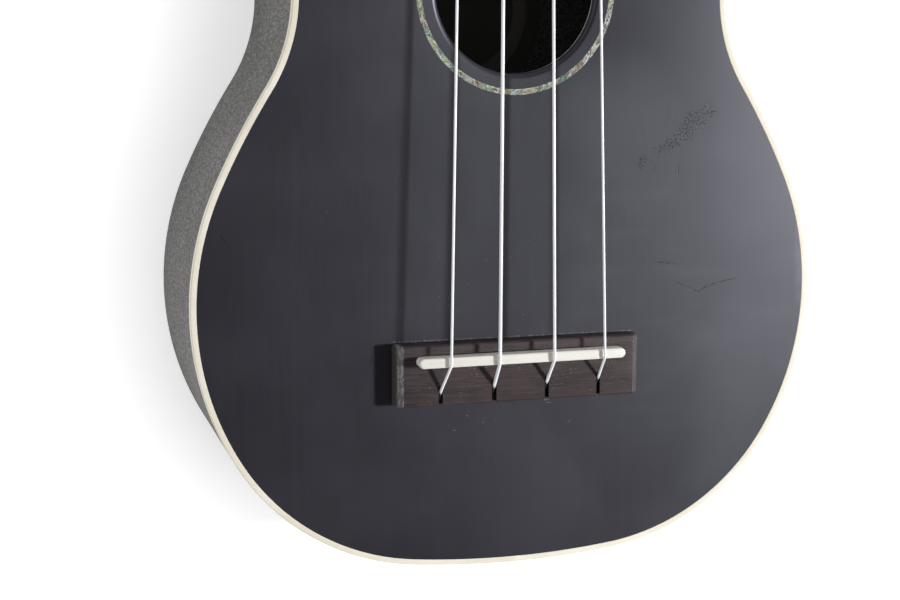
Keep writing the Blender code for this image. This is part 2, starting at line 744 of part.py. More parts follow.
def post_mesh(worm_side):
    """The string post with its gear. It runs along -Z through the head to the front."""
    front = -(HEAD_THICKNESS + FACE_Z)
    tip = front - POST_RISE
    profile = [
        (0, tip),
        (POST_RADIUS - 0.5 * mm, tip),
        (POST_RADIUS, tip + 0.5 * mm),
        (POST_RADIUS, tip + 1.5 * mm),
        (POST_WAIST, tip + 1.9 * mm),
        (POST_WAIST, front - BUSH_FLANGE - 1.0 * mm),
        (POST_RADIUS, front - BUSH_FLANGE - 0.6 * mm),
        (POST_RADIUS, 1.9 * mm),
        (3.3 * mm, 1.9 * mm),
        (3.3 * mm, GEAR_Z - GEAR_THICKNESS / 2 + 0.2 * mm),
        (1.7 * mm, GEAR_Z + GEAR_THICKNESS / 2 - 0.2 * mm),
        (1.7 * mm, 7.4 * mm),
        (0, 7.4 * mm),
    ]
    core = turned(profile, 14)
    hole = moved(rod(0.85 * mm, -4 * mm, 4 * mm, 8, "X"), z=front - STRING_HOLE_RISE)
    return combined(core, joins=[gear_mesh(worm_side)], cuts=[hole])


def worm_mesh(worm_side):
    """The worm and its shaft along X, about the shaft's own axis. The thread is right-handed."""
    root = WORM_PITCH_RADIUS - DEDENDUM
    crest = WORM_PITCH_RADIUS + ADDENDUM
    shaft_start, shaft_end = -EAR_X[1] - 0.8 * mm, KNOB_START + 5.4 * mm
    shoulder = EAR_X[0] - 0.2 * mm
    core = turned(
        [
            (0, shaft_start),
            (SHAFT_RADIUS, shaft_start),
            (SHAFT_RADIUS, -shoulder),
            (root, -shoulder),
            (root, shoulder),
            (SHAFT_RADIUS, shoulder),
            (SHAFT_RADIUS, shaft_end),
            (0, shaft_end),
        ],
        12,
        "X",
    )
    steps = 12
    reach = WORM_HALF - 0.75 * mm
    turns = 2 * reach / LEAD
    count = round(turns * steps)
    # The thread's groove faces the wheel's tooth that points at the worm.
    facing = math.pi if worm_side > 0 else 0.0
    sections = []
    for i in range(count + 1):
        along = -reach + 2 * reach * i / count
        angle = facing + 2 * math.pi * (along / LEAD - 0.5)
        fade = min(1.0, min(i, count - i) / (steps / 3))
        top_r = root - 0.15 * mm + (crest - root + 0.15 * mm) * fade
        corners = (
            (-0.62 * mm, root - 0.35 * mm),
            (-0.2 * mm, max(top_r, root - 0.1 * mm)),
            (0.2 * mm, max(top_r, root - 0.1 * mm)),
            (0.62 * mm, root - 0.35 * mm),
        )
        sections.append([(along + dx, r * math.cos(angle), r * math.sin(angle)) for dx, r in corners])
    return combined(core, joins=[loft(sections)])


def knob_mesh():
    """An oval button on a round collar, with a blind bore for the shaft."""
    sections = []
    stations = (
        (0.0, 2.3, 2.3),
        (1.4, 2.5, 2.5),
        (2.2, 4.6, 3.2),
        (4.2, 6.6, 4.0),
        (7.8, 7.3, 4.3),
        (11.4, 6.6, 3.9),
        (13.6, 4.4, 2.9),
        (14.4, 2.0, 1.4),
    )
    for x, half_y, half_z in stations:
        ring = []
        for i in range(12):
            a = 2 * math.pi * i / 12
            ring.append((KNOB_START + x * mm, half_y * mm * math.cos(a), half_z * mm * math.sin(a)))
        sections.append(ring)
    bore = rod(SHAFT_RADIUS + SEAT, KNOB_START - mm, KNOB_START + 5.4 * mm + SEAT, 10, "X")
    return combined(loft(sections), cuts=[bore])


def plate_mesh(worm_side):
    """The base plate with two ears that carry the worm's shaft."""
    y0, y1 = (worm_side * y for y in PLATE_Y)
    low, high = min(y0, y1), max(y0, y1)
    corner = 2.2 * mm
    outline = []
    for cx, cy, start in (
        (PLATE_HALF - corner, low + corner, -90),
        (PLATE_HALF - corner, high - corner, 0),
        (corner - PLATE_HALF, high - corner, 90),
        (corner - PLATE_HALF, low + corner, 180),
    ):
        for k in range(4):
            a = (start + 30 * k) * deg
            outline.append((cx + corner * math.cos(a), cy + corner * math.sin(a)))
    base = prism(outline, SEAT, SEAT + PLATE_THICKNESS)
    centre_y = worm_side * WORM_DISTANCE
    ears = []
    for side in (-1, 1):
        x0, x1 = sorted((side * EAR_X[0], side * EAR_X[1]))
        profile = [(-EAR_HALF, SEAT + 0.4 * mm), (EAR_HALF, SEAT + 0.4 * mm)]
        for k in range(7):
            a = math.pi * k / 6
            profile.append((EAR_HALF * math.cos(a), EAR_TOP - EAR_HALF + EAR_HALF * math.sin(a)))
        ears.append(loft([[(x, centre_y + y, z) for y, z in profile] for x in (x0, x1)]))
    shaft = moved(rod(SHAFT_RADIUS + 0.25 * mm, -9 * mm, 9 * mm, 14, "X"), 0, centre_y, GEAR_Z)
    post = rod(POST_RADIUS + 0.45 * mm, -mm, 3 * mm, 16)
    screws = [moved(rod(1.1 * mm, -mm, 3 * mm, 10), 0, worm_side * y * mm) for y in (-7.2, 11.6)]
    return combined(base, joins=ears, cuts=[shaft, post, *screws])


def bush_mesh():
    """The flanged ferrule that guides the post at the front of the head."""
    corners = (
        (BUSH_BORE, -BUSH_DEPTH),
        (BUSH_BARREL, -BUSH_DEPTH),
        (BUSH_BARREL, SEAT),
        (BUSH_RADIUS, SEAT),
        (BUSH_RADIUS - 0.4 * mm, BUSH_FLANGE),
        (BUSH_BORE, BUSH_FLANGE),
    )
    sections = []
    for i in range(20):
        a = 2 * math.pi * i / 20
        sections.append([(r * math.cos(a), r * math.sin(a), z) for r, z in corners])
    return loft(sections, ring=True)


def make_tuners(head):
    knob, bush = knob_mesh(), bush_mesh()
    made = {side: (plate_mesh(side), worm_mesh(side), post_mesh(side)) for side in (1, -1)}
    for name, (side, x, y) in TUNERS.items():
        place = Vector((side * x * mm, y * mm, -HEAD_THICKNESS))
        turn = Matrix(((side, 0, 0), (0, -side, 0), (0, 0, -1)))
        tuner = frame(f"tuner_frame_{name}", head, place, turn)
        plate, worm, post = made[side]
        axis = (0, side * WORM_DISTANCE, GEAR_Z)
        node(f"tuner_plate_{name}", plate, "nickel", tuner, smooth=35)
        node(f"worm_shaft_{name}", worm, "nickel", tuner, axis, smooth=35)
        node(f"tuner_button_{name}", knob, "button", tuner, axis, smooth=50)
        node(f"string_post_{name}", post, "brass", tuner, smooth=35)
        node(f"post_bushing_{name}", bush, "nickel", head, (side * x * mm, y * mm, FACE_Z), smooth=35)


# Strings


def fillet(corners, radii, steps=4):
    """The corners of a route in straight runs, each inner one rounded by its radius."""
    route = [corners[0]]
    for before, at, after, radius in zip(corners, corners[1:], corners[2:], radii):
        into, out = (at - before).normalized(), (after - at).normalized()
        half = into.angle(out) / 2
        start = at - into * radius * math.tan(half)
        middle = at + (out - into).normalized() * radius / math.cos(half)
        spoke = start - middle
        turn = into.cross(out).normalized()
        for k in range(steps + 1):
            route.append(middle + Matrix.Rotation(2 * half * k / steps, 3, turn) @ spoke)
    return [*route, corners[-1]]


def winding(name, leaving):
    """Turns up the post from where the string touches it, then across through the post's hole."""
    gauge = STRINGS[name][0] * mm
    side, x, y = TUNERS[name]
    centre = Vector((side * x * mm, y * mm, 0))
    radius = POST_WAIST + SEAT + gauge / 2
    toward = leaving - centre
    start = math.atan2(toward.y, toward.x) - side * math.acos(radius / toward.xy.length)
    across = 0.0 if side > 0 else math.pi
    start = across + math.pi + (start - across - math.pi + math.pi) % (2 * math.pi) - math.pi
    bend = 1.0 * mm
    sweep = 2 * math.pi * TURNS + side * (start - across - math.pi) - math.asin(bend / radius)
    steps = round(sweep / (2 * math.pi) * LOOP_POINTS)
    low = FACE_Z + BUSH_FLANGE + FIRST_TURN
    high = FACE_Z + STRING_HOLE_RISE
    level = 2 * math.pi * (TURNS - 0.5)
    coil = []
    for i in range(steps + 1):
        turned_by = sweep * i / steps
        a = start - side * turned_by
        z = low + TURN_PITCH * min(turned_by, level) / (2 * math.pi)
        last = low + TURN_PITCH * level / (2 * math.pi)
        z += (high - last) * max(0.0, turned_by - level) / (sweep - level)
        coil.append(centre + Vector((radius * math.cos(a), radius * math.sin(a), z)))
    inwards = Vector((-side, 0, 0))
    mouth = centre + Vector((0, 0, high)) - inwards * (POST_WAIST + 0.1 * mm)
    heading = (coil[-1] - coil[-2]).normalized()
    for k in range(1, 5):
        t = k / 4
        reach = 1.3 * mm
        knots = (coil[-1 - (k - 1)], coil[-1 - (k - 1)] + heading * reach, mouth - inwards * reach, mouth)
        weights = ((1 - t) ** 3, 3 * t * (1 - t) ** 2, 3 * t * t * (1 - t), t**3)
        coil.append(sum((w * p for w, p in zip(weights, knots)), Vector()))
    coil.append(mouth + inwards * (2 * POST_WAIST + TAIL))
    return coil


def string_route(name, head_matrix):
    """From the knot in the bridge over the saddle and the nut, and wound up the post."""
    gauge, slot_x, leave_y, saddle_x, nut_x = (value * mm for value in STRINGS[name])
    run = SADDLE_Y - CREST_BACK - leave_y
    dip = (BRIDGE_HEIGHT - KNOT_Z) * run / (STRING_Z_SADDLE - BRIDGE_HEIGHT)
    over_nut = Vector((nut_x, NUT_Y + NUT_THICKNESS - 0.4 * mm, STRING_Z_NUT))
    coil = winding(name, head_matrix.inverted() @ over_nut)
    coil = [head_matrix @ point for point in coil]
    corners = [
        Vector((slot_x, BRIDGE_Y[0] + KNOT_INSET, KNOT_Z)),
        Vector((slot_x, leave_y - dip, KNOT_Z)),
        Vector((slot_x, leave_y, BRIDGE_HEIGHT)),
        Vector((saddle_x, SADDLE_Y - CREST_BACK, STRING_Z_SADDLE)),
        over_nut,
        coil[0],
    ]
    return fillet(corners, (1.2 * mm, 2.0 * mm, 2.0 * mm, 4.0 * mm)), coil[1:]


def least_gap(points, gauge):
    """Smallest distance between the skins of two turns."""
    apart = LOOP_POINTS // 2
    pairs = ((i, j) for i in range(len(points)) for j in range(i + apart, len(points)))
    return min((points[i] - points[j]).length for i, j in pairs) - gauge


def make_strings(top, head):
    for name, (gauge, *_) in STRINGS.items():
        route, coil = string_route(name, head.matrix_basis)
        knot = [route[0] + Vector((0, step * mm, 0)) for step in (0.1, 0.3, 0.5)]
        points = [route[0], *knot, *route[1:], *coil]
        curve = bpy.data.curves.new(f"string_{name}", "CURVE")
        curve.dimensions = "3D"
        curve.bevel_depth = gauge * mm / 2
        curve.bevel_resolution = 1
        curve.use_fill_caps = True
        spline = curve.splines.new("POLY")
        spline.points.add(len(points) - 1)
        for target, point in zip(spline.points, points):
            target.co = (*point, 1)
        full = KNOT_RADIUS / (gauge * mm / 2)
        for target, size in zip(spline.points[1:4], (0.75, 1.0, 0.75)):
            target.radius = full * size
        curve.materials.append(MATERIALS["nylon"])
        made = bpy.data.objects.new(f"string_{name}", curve)
        bpy.context.scene.collection.objects.link(made)
        made.parent = top
        gap = least_gap(coil, gauge * mm)
        print(f"string_{name}: least gap between turns {gap / mm:.2f} mm, wanted over {STRING_LEAST_GAP / mm:.1f}")


def main():
    clear_scene()
    tilt = Matrix.Rotation(-TAPER, 3, "X")
    anchor = Vector((0, ORIGIN_Y, back_z(ORIGIN_Y)))
    top = frame("top_frame", None, -(tilt @ anchor), tilt)
    head = frame("head_frame", top, (0, NECK_END, 0), Matrix.Rotation(-HEAD_ANGLE, 3, "X"))
    make_back()
    make_sides(top)
    make_linings(top)
    make_blocks(top)
    make_braces(top)
    make_top(top)
    make_bridge(top)
    make_neck(top, head)
    make_fretboard(top)
    make_nut(top)
    make_tuners(head)
    make_strings(top, head)


MATERIALS = make_materials()
main()
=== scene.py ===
import math

import bmesh
import bpy
from bmesh.types import BMEdge, BMFace, BMVert
from mathutils import Euler, Matrix, Vector


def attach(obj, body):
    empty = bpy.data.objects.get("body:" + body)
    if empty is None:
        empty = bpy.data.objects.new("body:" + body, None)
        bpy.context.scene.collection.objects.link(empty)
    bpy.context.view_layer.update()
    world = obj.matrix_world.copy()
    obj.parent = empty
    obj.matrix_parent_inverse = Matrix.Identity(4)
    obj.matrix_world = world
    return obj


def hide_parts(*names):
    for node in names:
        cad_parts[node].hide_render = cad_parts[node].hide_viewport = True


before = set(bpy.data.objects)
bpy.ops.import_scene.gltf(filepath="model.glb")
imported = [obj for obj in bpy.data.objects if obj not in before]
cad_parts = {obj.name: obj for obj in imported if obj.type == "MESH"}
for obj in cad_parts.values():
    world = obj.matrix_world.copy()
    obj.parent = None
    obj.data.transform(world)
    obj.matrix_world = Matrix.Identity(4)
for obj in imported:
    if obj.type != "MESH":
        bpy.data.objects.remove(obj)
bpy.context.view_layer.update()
print("frame loaded:", len(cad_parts), "nodes")

mm = 0.001
deg = math.pi / 180
white = (1.0, 1.0, 1.0)

# Sizes are in millimetres here. Along the body Y starts at the tail and Z at the top's face.
body = {
    "arcs": [  # radius and turn in degrees, from the tail to the neck, and a minus bends inwards
        (249.35, 6.55),
        (63.79, 52.05),
        (79.26, 55.86),
        (198.58, 8.2),
        (-44.81, 50.81),
        (46.65, 88.83),
    ],
    "length": 233.1,
    "tailDepth": 59.0,
    "neckDepth": 56.5,
    "originY": 80.0,
    "side": 1.8,
    "back": 2.0,
    "top": 2.0,
    "bindingWide": 1.6,
    "bindingHigh": 2.3,
    "bindingRound": 0.3,
    "backRound": 0.9,
    "step": 1.8,  # longest straight piece of an outline
}
taper = math.atan((body["tailDepth"] - body["neckDepth"]) / body["length"])


def backZ(y):
    return -body["tailDepth"] + math.tan(taper) * y


tilt = Matrix.Rotation(-taper, 4, "X")
inMetres = Matrix.Scale(mm, 4)
anchor = Vector((0, body["originY"], backZ(body["originY"])))
topFrame = inMetres @ Matrix.Translation(-(tilt @ anchor)) @ tilt

neck = {
    "nutY": 405.0,
    "nutWide": 35.0,
    "heelWide": 43.0,
    "end": 409.3,
    "start": 230.1,
    "thick": 12.5,
    "thicker": 2.0,
    "heelLong": 37.0,
    "heelDeep": 65.0,
    "heelCurve": 1.6,
    "sideCurve": (0.85, 0.25),  # powers that round the section in the shaft and square it at the head
    "backCurve": (0.95, 0.25),
    "blend": 20.0,
    "headAngle": 12.0,
    "headThick": 10.7,
    "face": 1.8,
    "capHigh": 2.0,
    "capLift": 0.15,
}
headTurn = Matrix.Rotation(-neck["headAngle"] * deg, 4, "X")
headFrame = topFrame @ Matrix.Translation((0, neck["end"], 0)) @ headTurn


# Shader sums: a value is a socket, and a paint is a material being made

class Value:
    def __init__(self, paint, socket):
        self.paint, self.socket = paint, socket

    def join(self, operation, first, second):
        return self.paint.add("Math", {"operation": operation}, {0: first, 1: second})

    def __add__(self, other):
        return self.join("ADD", self, other)

    def __radd__(self, other):
        return self.join("ADD", other, self)

    def __sub__(self, other):
        return self.join("SUBTRACT", self, other)

    def __rsub__(self, other):
        return self.join("SUBTRACT", other, self)

    def __mul__(self, other):
        return self.join("MULTIPLY", self, other)

    def __rmul__(self, other):
        return self.join("MULTIPLY", other, self)

    def __pow__(self, other):
        return self.join("POWER", self, other)

    def above(self, edge):
        return self.join("GREATER_THAN", self, edge)

    def fades(self, low, high):
        return self.between(low, high, 1.0, 0.0)

    def atMost(self, most):
        return self.join("MINIMUM", self, most)

    def floor(self):
        return self.paint.add("Math", {"operation": "FLOOR"}, {0: self})

    def between(self, low, high, a=0.0, b=1.0):
        # a smooth step from a to b
        sockets = {"Value": self, "From Min": low, "From Max": high, "To Min": a, "To Max": b}
        return self.paint.add("MapRange", {"interpolation_type": "SMOOTHSTEP"}, sockets)


class Paint:
    def __init__(self, name, world=None):
        self.owner = world or bpy.data.materials.new(name)
        self.owner.use_nodes = True
        self.tree = self.owner.node_tree
        self.tree.nodes.clear()
        self.place = self.add("TexCoord", out="Generated" if world else "Object")

    def add(self, kind, settings=None, sockets=None, out=0):
        node = self.tree.nodes.new("ShaderNode" + kind)
        for key, value in (settings or {}).items():
            if key == "stops":
                self.setStops(node.color_ramp, value)
            else:
                setattr(node, key, value)
        for key, value in (sockets or {}).items():
            if isinstance(value, Value):
                self.tree.links.new(value.socket, node.inputs[key])
            else:
                isColour = node.inputs[key].type == "RGBA"
                node.inputs[key].default_value = (*value, 1.0) if isColour else value
        return Value(self, node.outputs[out]) if node.outputs else None

    def setStops(self, ramp, stops):
        while len(ramp.elements) < len(stops):
            ramp.elements.new(1.0)
        for element, (position, colour) in zip(ramp.elements, stops):
            element.position, element.color = position, (*colour, 1.0)

    def ramp(self, factor, stops):
        return self.add("ValToRGB", {"stops": stops}, {0: factor})

    def mix(self, factor, a, b):
        return self.add("Mix", {"data_type": "RGBA"}, {0: factor, 6: a, 7: b}, out=2)

    def mapped(self, scale=(1, 1, 1), shift=(0, 0, 0), turn=(0, 0, 0), vector=None):
        sockets = {"Vector": vector or self.place, "Scale": scale, "Location": shift, "Rotation": turn}
        return self.add("Mapping", {}, sockets)

    def local(self, x, y):
        # coordinates counted from a place on the top
        return self.mapped(shift=tuple(-c for c in onTop(x, y)))

    def vector(self, operation, *terms, out="Vector"):
        return self.add("VectorMath", {"operation": operation}, dict(enumerate(terms)), out=out)

    def flatLength(self, vector):
        # distance from the upright line at zero
        return self.vector("LENGTH", self.vector("MULTIPLY", vector, (1, 1, 0)), out="Value")

    def noise(self, scale, detail=4.0, rough=0.55, stretch=(1, 1, 1), vector=None, warp=0.0):
        vector = vector or self.mapped(stretch)
        sockets = {"Vector": vector, "Scale": scale, "Detail": detail, "Roughness": rough}
        return self.add("TexNoise", {}, {**sockets, "Distortion": warp})

    def cells(self, scale, out="Distance"):
        return self.add("TexVoronoi", {}, {"Vector": self.place, "Scale": scale}, out=out)

    def ball(self, vector):
        # 1 at zero, fading to 0 at a distance of 1
        return self.add("TexGradient", {"gradient_type": "SPHERICAL"}, {"Vector": vector})

    def spot(self, centre, size):
        # 1 at a centre on the top, fading to 0 at its size along X, Y and Z in millimetres
        scale = tuple(1 / (s * mm) for s in size)
        shift = tuple(-c * s for c, s in zip(onTop(*centre), scale))
        return self.ball(self.mapped(scale, shift))

    def streak(self, first, last, half):
        # 1 on the line between two places on the top, fading to 0 at its half width in millimetres
        run = [b - a for a, b in zip(onTop(*first), onTop(*last))]
        length = math.hypot(*run)
        heading = tuple(r / length for r in run)
        local = self.local(*first)
        along = self.vector("DOT_PRODUCT", local, heading, out="Value")
        along = self.add("Clamp", {}, {"Value": along, "Min": 0.0, "Max": length})
        nearest = self.add("VectorMath", {"operation": "SCALE"}, {0: heading, "Scale": along})
        apart = self.vector("DISTANCE", local, nearest, out="Value")
        return apart.fades(0.0, half * mm)

    def axis(self, name):
        return self.add("SeparateXYZ", {}, {0: self.place}, out=name)

    def seen(self):
        # 1 where the eye looks straight at it or through glass
        rays = ("Is Camera Ray", "Is Transmission Ray")
        return sum((self.add("LightPath", out=ray) for ray in rays), 0.0)

    def mirrored(self):
        # 1 where another piece mirrors it
        return self.add("LightPath", out="Is Glossy Ray")

    def bump(self, height, strength, distance, under=None):
        sockets = {"Height": height, "Strength": strength, "Distance": distance}
        if under:
            sockets["Normal"] = under
        return self.add("Bump", {}, sockets)

    def finish(self, base, rough, normal=None, **others):
        sockets = {"Base Color": base, "Roughness": rough}
        if normal:
            sockets["Normal"] = normal
        sockets.update({key.replace("_", " "): value for key, value in others.items()})
        shader = self.add("BsdfPrincipled", {}, sockets)
        self.add("OutputMaterial", {}, {"Surface": shader})
        return self.owner


def polar(radius, angle, z=0.0):
    return Vector((radius * math.cos(angle), radius * math.sin(angle), z))


def onTop(x, y, z=0.0):
    # a place on the top, given in millimetres, in the world
    return tuple(topFrame @ Vector((x, y, z)))


# Finishes

blackTop = {
    "dark": (0.0066, 0.0066, 0.0100),
    "pale": (0.0098, 0.0100, 0.0140),
    "gloss": 0.39,
    "shine": 0.92,
}
headFace = {**blackTop, "gloss": 0.50, "shine": 0.35}
scratches = [  # ends on the top in X and Y, and half width, in millimetres
    ((46.7, 76.4), (50.7, 74.7), 0.170),
    ((50.7, 74.7), (53.8, 73.3), 0.255),
    ((53.8, 73.3), (55.8, 74.6), 0.272),
    ((55.8, 74.6), (59.4, 75.6), 0.340),
    ((59.4, 75.6), (64.9, 76.6), 0.238),
    ((41.1, 82.2), (45.1, 81.6), 0.255),
    ((45.1, 81.6), (47.1, 81.3), 0.170),
    ((45.9, 108.8), (46.0, 106.0), 0.204),
    ((46.9, 109.3), (47.0, 106.5), 0.238),
    ((40.0, 108.9), (40.2, 107.0), 0.170),
    ((54.5, 122.6), (58.2, 123.3), 0.272),
    ((-79.2, 93.6), (-76.8, 90.6), 0.238),
]
threads = [  # ends of bits of lint on the top in X and Y
    ((8.0, 46.2), (9.0, 45.2)),
    ((9.0, 45.2), (10.2, 45.6)),
    ((9.4, 44.6), (10.6, 44.4)),
    ((-13.6, 42.4), (-13.0, 42.2)),
    ((-8.9, 40.3), (-8.6, 40.0)),
    ((-17.2, 38.6), (-16.6, 38.5)),
    ((15.6, 38.6), (16.2, 38.9)),
]
scuffs = [  # centre, half length, half width, and turn in degrees
    ((52.8, 121.6), 7.5, 4.6, 22),
    ((48.2, 117.4), 7.5, 3.6, 42),
    ((42.0, 113.6), 4.6, 3.2, 30),
    ((36.1, 109.9), 3.0, 1.8, 68),
]


def dustOn(paint):
    # dust lies mostly between the strings and behind the bridge
    zone = paint.spot((-8, 84), (75, 95, 50)) ** 0.6
    grit = paint.noise(3000, 2, 0.6).above(0.715) * zone
    rare = paint.add("SeparateColor", {}, {0: paint.cells(760, out="Color")})
    chance = rare * (zone * 0.4 + 0.6) * paint.noise(60, 3, 0.6).between(0.3, 0.7, 0.8, 1.05)
    specks = (chance * 0.10 - paint.cells(760)).above(0.0) * chance.above(0.66)
    return (grit * 0.25 + specks * chance.between(0.66, 0.9, 0.10, 0.55)).between(0.0, 1.0)


def dentsOn(paint):
    # small dents fill the scuffed ovals
    scuffed = 0.0
    for centre, along, across, turn in scuffs:
        local = paint.mapped(vector=paint.local(*centre), turn=(0, 0, -turn * deg))
        scale = tuple(1 / (size * mm) for size in (along, across, 20))
        scuffed = paint.ball(paint.vector("MULTIPLY", local, scale)) + scuffed
    pits = paint.noise(1700, 3, 0.8, (1, 1.4, 1)).between(0.47, 0.58)
    return pits * paint.noise(330, 3, 0.7).between(0.32, 0.50) * scuffed.between(0.04, 0.6)


def scratchesOn(paint):
    lines = 0.0
    for first, last, half in scratches:
        lines = paint.streak(first, last, half) + lines
    return lines * paint.noise(1100, 4, 0.7).between(0.38, 0.56)


def lintOn(paint):
    # dust lies along the bridge's upper foot, and lint on the top below it
    foot = paint.streak((-34, 63.6), (-18, 63.5), 0.40) + paint.streak((-18, 63.5), (34, 63.4), 0.28)
    lint = foot * paint.noise(2200, 4, 0.8).between(0.44, 0.62) * 0.7
    for first, last in threads:
        lint = paint.streak(first, last, 0.13) * 0.6 + lint
    return lint.between(0.0, 1.0)


def wearAndGlintOnTop(paint, base, gloss, normal):
    # what use has left on the top, and a painted glint along the hole's lower edge, added to its plain
    # finish
    base = paint.mix(dustOn(paint), base, (0.30, 0.30, 0.29))
    # dents and scratches on the treble side, in faint smudges that run across it
    marks = (dentsOn(paint) * 0.85 + scratchesOn(paint) * 0.8).atMost(0.85)
    smudged = paint.spot((48, 72), (60, 55, 40)) ** 0.5
    wipes = paint.noise(46, 4, 0.6, (1.0, 4.5, 1)).between(0.50, 0.74) * smudged
    gloss = gloss + wipes * 0.03 - marks * 0.14
    base = paint.mix(marks * 0.6, base, (0.004, 0.004, 0.006))
    normal = paint.bump(1 - marks, 0.06, 0.0002, normal)
    base = paint.mix(lintOn(paint), base, (0.30, 0.30, 0.30))
    # the edge is rubbed pale on the treble side
    rubbed = paint.spot((85.6, 88), (3.2, 30, 10)).between(0.0, 0.7)
    tintPatch = paint.noise(200, 4, 0.6).between(0.35, 0.65, 0.4, 1.0) * rubbed
    base = paint.mix(tintPatch * 0.16, base, (0.34, 0.30, 0.36))
    # bare wood shows along the hole's lower edge, painted very pale so that it is partly a painted glint of
    # light, and the rounding over it is dull
    up = tuple(tilt.to_3x3() @ Vector((0, 0, 1)))
    height = paint.vector("DOT_PRODUCT", paint.local(0, 0), up, out="Value")
    patchy = paint.noise(500, 3, 0.6).between(0.25, 0.5, 0.35, 1.0)
    bareEdgeAndGlint = height.fades(-0.00172, -0.00160) * patchy
    base = paint.mix(bareEdgeAndGlint, base, (0.84, 0.80, 0.76))
    gloss = gloss + height.between(-0.0010, -0.00003, 0.30, 0.0)
    return base, gloss, normal


def makeBlackTop(name, finish, used=True):
    paint = Paint(name)
    grain = paint.noise(520, 5, 0.6, (1, 0.02, 0.3))
    fine = paint.noise(2600, 2, 0.5, (1, 0.04, 0.4))
    cloud = paint.noise(28, 3, 0.5)
    mixed = (grain * 0.5 + fine * 0.3 + cloud * 0.4).between(0.42, 0.78)
    base = paint.mix(mixed, finish["dark"], finish["pale"])
    gloss = cloud.between(0.35, 0.7, finish["gloss"] - 0.02, finish["gloss"] + 0.03) + fine * 0.02
    normal = paint.bump(grain * 0.5 + fine * 0.5, 0.03, 0.0002)
    if used:
        base, gloss, normal = wearAndGlintOnTop(paint, base, gloss, normal)
    sheen = {"Specular_IOR_Level": finish["shine"], "Specular_Tint": (0.86, 0.86, 1.0)}
    return paint.finish(base, gloss, normal, **sheen)


def makeSideWood():
    paint = Paint("charcoalWood")
    speckle = paint.noise(3000, 3, 0.75, (1, 1, 0.8))
    pores = paint.noise(1300, 4, 0.7, (1.0, 1.0, 0.3))
    cloud = paint.noise(35, 3, 0.5)
    mixed = (speckle * 0.8 + pores * 0.42 + cloud * 0.1).between(0.56, 0.78)
    stops = [
        (0.0, (0.028, 0.028, 0.029)),
        (0.45, (0.095, 0.094, 0.092)),
        (1.0, (0.27, 0.262, 0.245)),
    ]
    base = paint.ramp(mixed, stops)
    normal = paint.bump(speckle * 0.5 + pores * 0.5, 0.35, 0.0003)
    return paint.finish(base, 0.62 + speckle * 0.15, normal)


def makeInnerWood():
    paint = Paint("bareBraceWood")
    grain = paint.noise(420, 5, 0.6, (1, 0.05, 1))
    cloud = paint.noise(40, 3, 0.5)
    mixed = (grain * 0.8 + cloud * 0.3).between(0.4, 0.75)
    base = paint.mix(mixed, (0.10, 0.065, 0.038), (0.19, 0.13, 0.08))
    return paint.finish(base, 0.72 + cloud * 0.1, paint.bump(grain, 0.2, 0.0003))


def makeBinding():
    paint = Paint("creamBinding")
    cloud = paint.noise(60, 4, 0.55)
    fine = paint.noise(900, 3, 0.6)
    mixed = (cloud * 0.7 + fine * 0.3).between(0.35, 0.7)
    base = paint.mix(mixed, (0.76, 0.70, 0.575), (0.84, 0.80, 0.70))
    return paint.finish(base, 0.32 + fine * 0.1, paint.bump(fine, 0.04, 0.0002))


rosewood = {
    "dark": (0.022, 0.0135, 0.0145),
    "middle": (0.035, 0.022, 0.0245),
    "pale": (0.062, 0.045, 0.048),
    "shine": 0.38,
    "bevelFrom": 32.4,  # reach along X of the bridge's bevelled ends
    "bevelTo": 34.0,
    "blur": 0.2,
}


def dustAndLitEnds(paint, base, gloss, normal):
    # the bridge's ends are sawn, their bevels are painted pale grey, partly for dust and partly as painted
    # light, full on the left end and faint on the right, and flecks lie all over
    start, end, blur = (rosewood[key] * mm for key in ("bevelFrom", "bevelTo", "blur"))
    reach = paint.add("Math", {"operation": "ABSOLUTE"}, {0: paint.axis("X")})
    bevel = reach.between(start - blur, start + blur) * reach.fades(end - blur, end + blur)
    sawn = paint.noise(1700, 3, 0.65, (1, 0.35, 1)).between(0.38, 0.66)
    # painted light: the pale bevel is full on the left end and faint on the right, for how the light falls
    # on them
    bevel = bevel * paint.axis("X").between(-0.001, 0.001, 1.0, 0.15)
    base = paint.mix(bevel * (sawn * 0.6 + 0.3), base, (0.27, 0.27, 0.28))
    wall = reach.above(end - blur)
    base = paint.mix(wall * 0.6, base, (0.045, 0.042, 0.036))
    flecks = (0.16 - paint.cells(1300)).above(0.0) * paint.noise(240, 3, 0.6).above(0.57)
    base = paint.mix(flecks * 0.45, base, (0.33, 0.31, 0.29))
    return base, gloss + bevel * 0.12, paint.bump(sawn * bevel, 0.6, 0.0004, normal)


def makeRosewood(name, stretch, litDustyEnds=False):
    paint = Paint(name)
    wave = paint.noise(55, 3, 0.5, stretch)
    grain = paint.noise(2000, 5, 0.7, stretch)
    blotch = paint.noise(130, 3, 0.55)
    pore = paint.noise(3600, 2, 0.5, stretch).between(0.56, 0.66)
    mixed = (wave * 0.25 + grain * 0.75 + blotch * 0.2).between(0.42, 0.82)
    base = paint.ramp(mixed, [(0.0, rosewood["dark"]), (0.5, rosewood["middle"]), (1.0, rosewood["pale"])])
    base = paint.mix(blotch.between(0.45, 0.62) * 0.45, base, (0.046, 0.026, 0.027))
    base = paint.mix(pore * 0.45, base, (0.012, 0.008, 0.008))
    gloss = 0.46 + grain * 0.22
    normal = paint.bump(grain * 0.6 - pore * 0.5, 0.35, 0.0002)
    if litDustyEnds:
        base, gloss, normal = dustAndLitEnds(paint, base, gloss, normal)
    return paint.finish(base, gloss, normal, Specular_IOR_Level=rosewood["shine"])


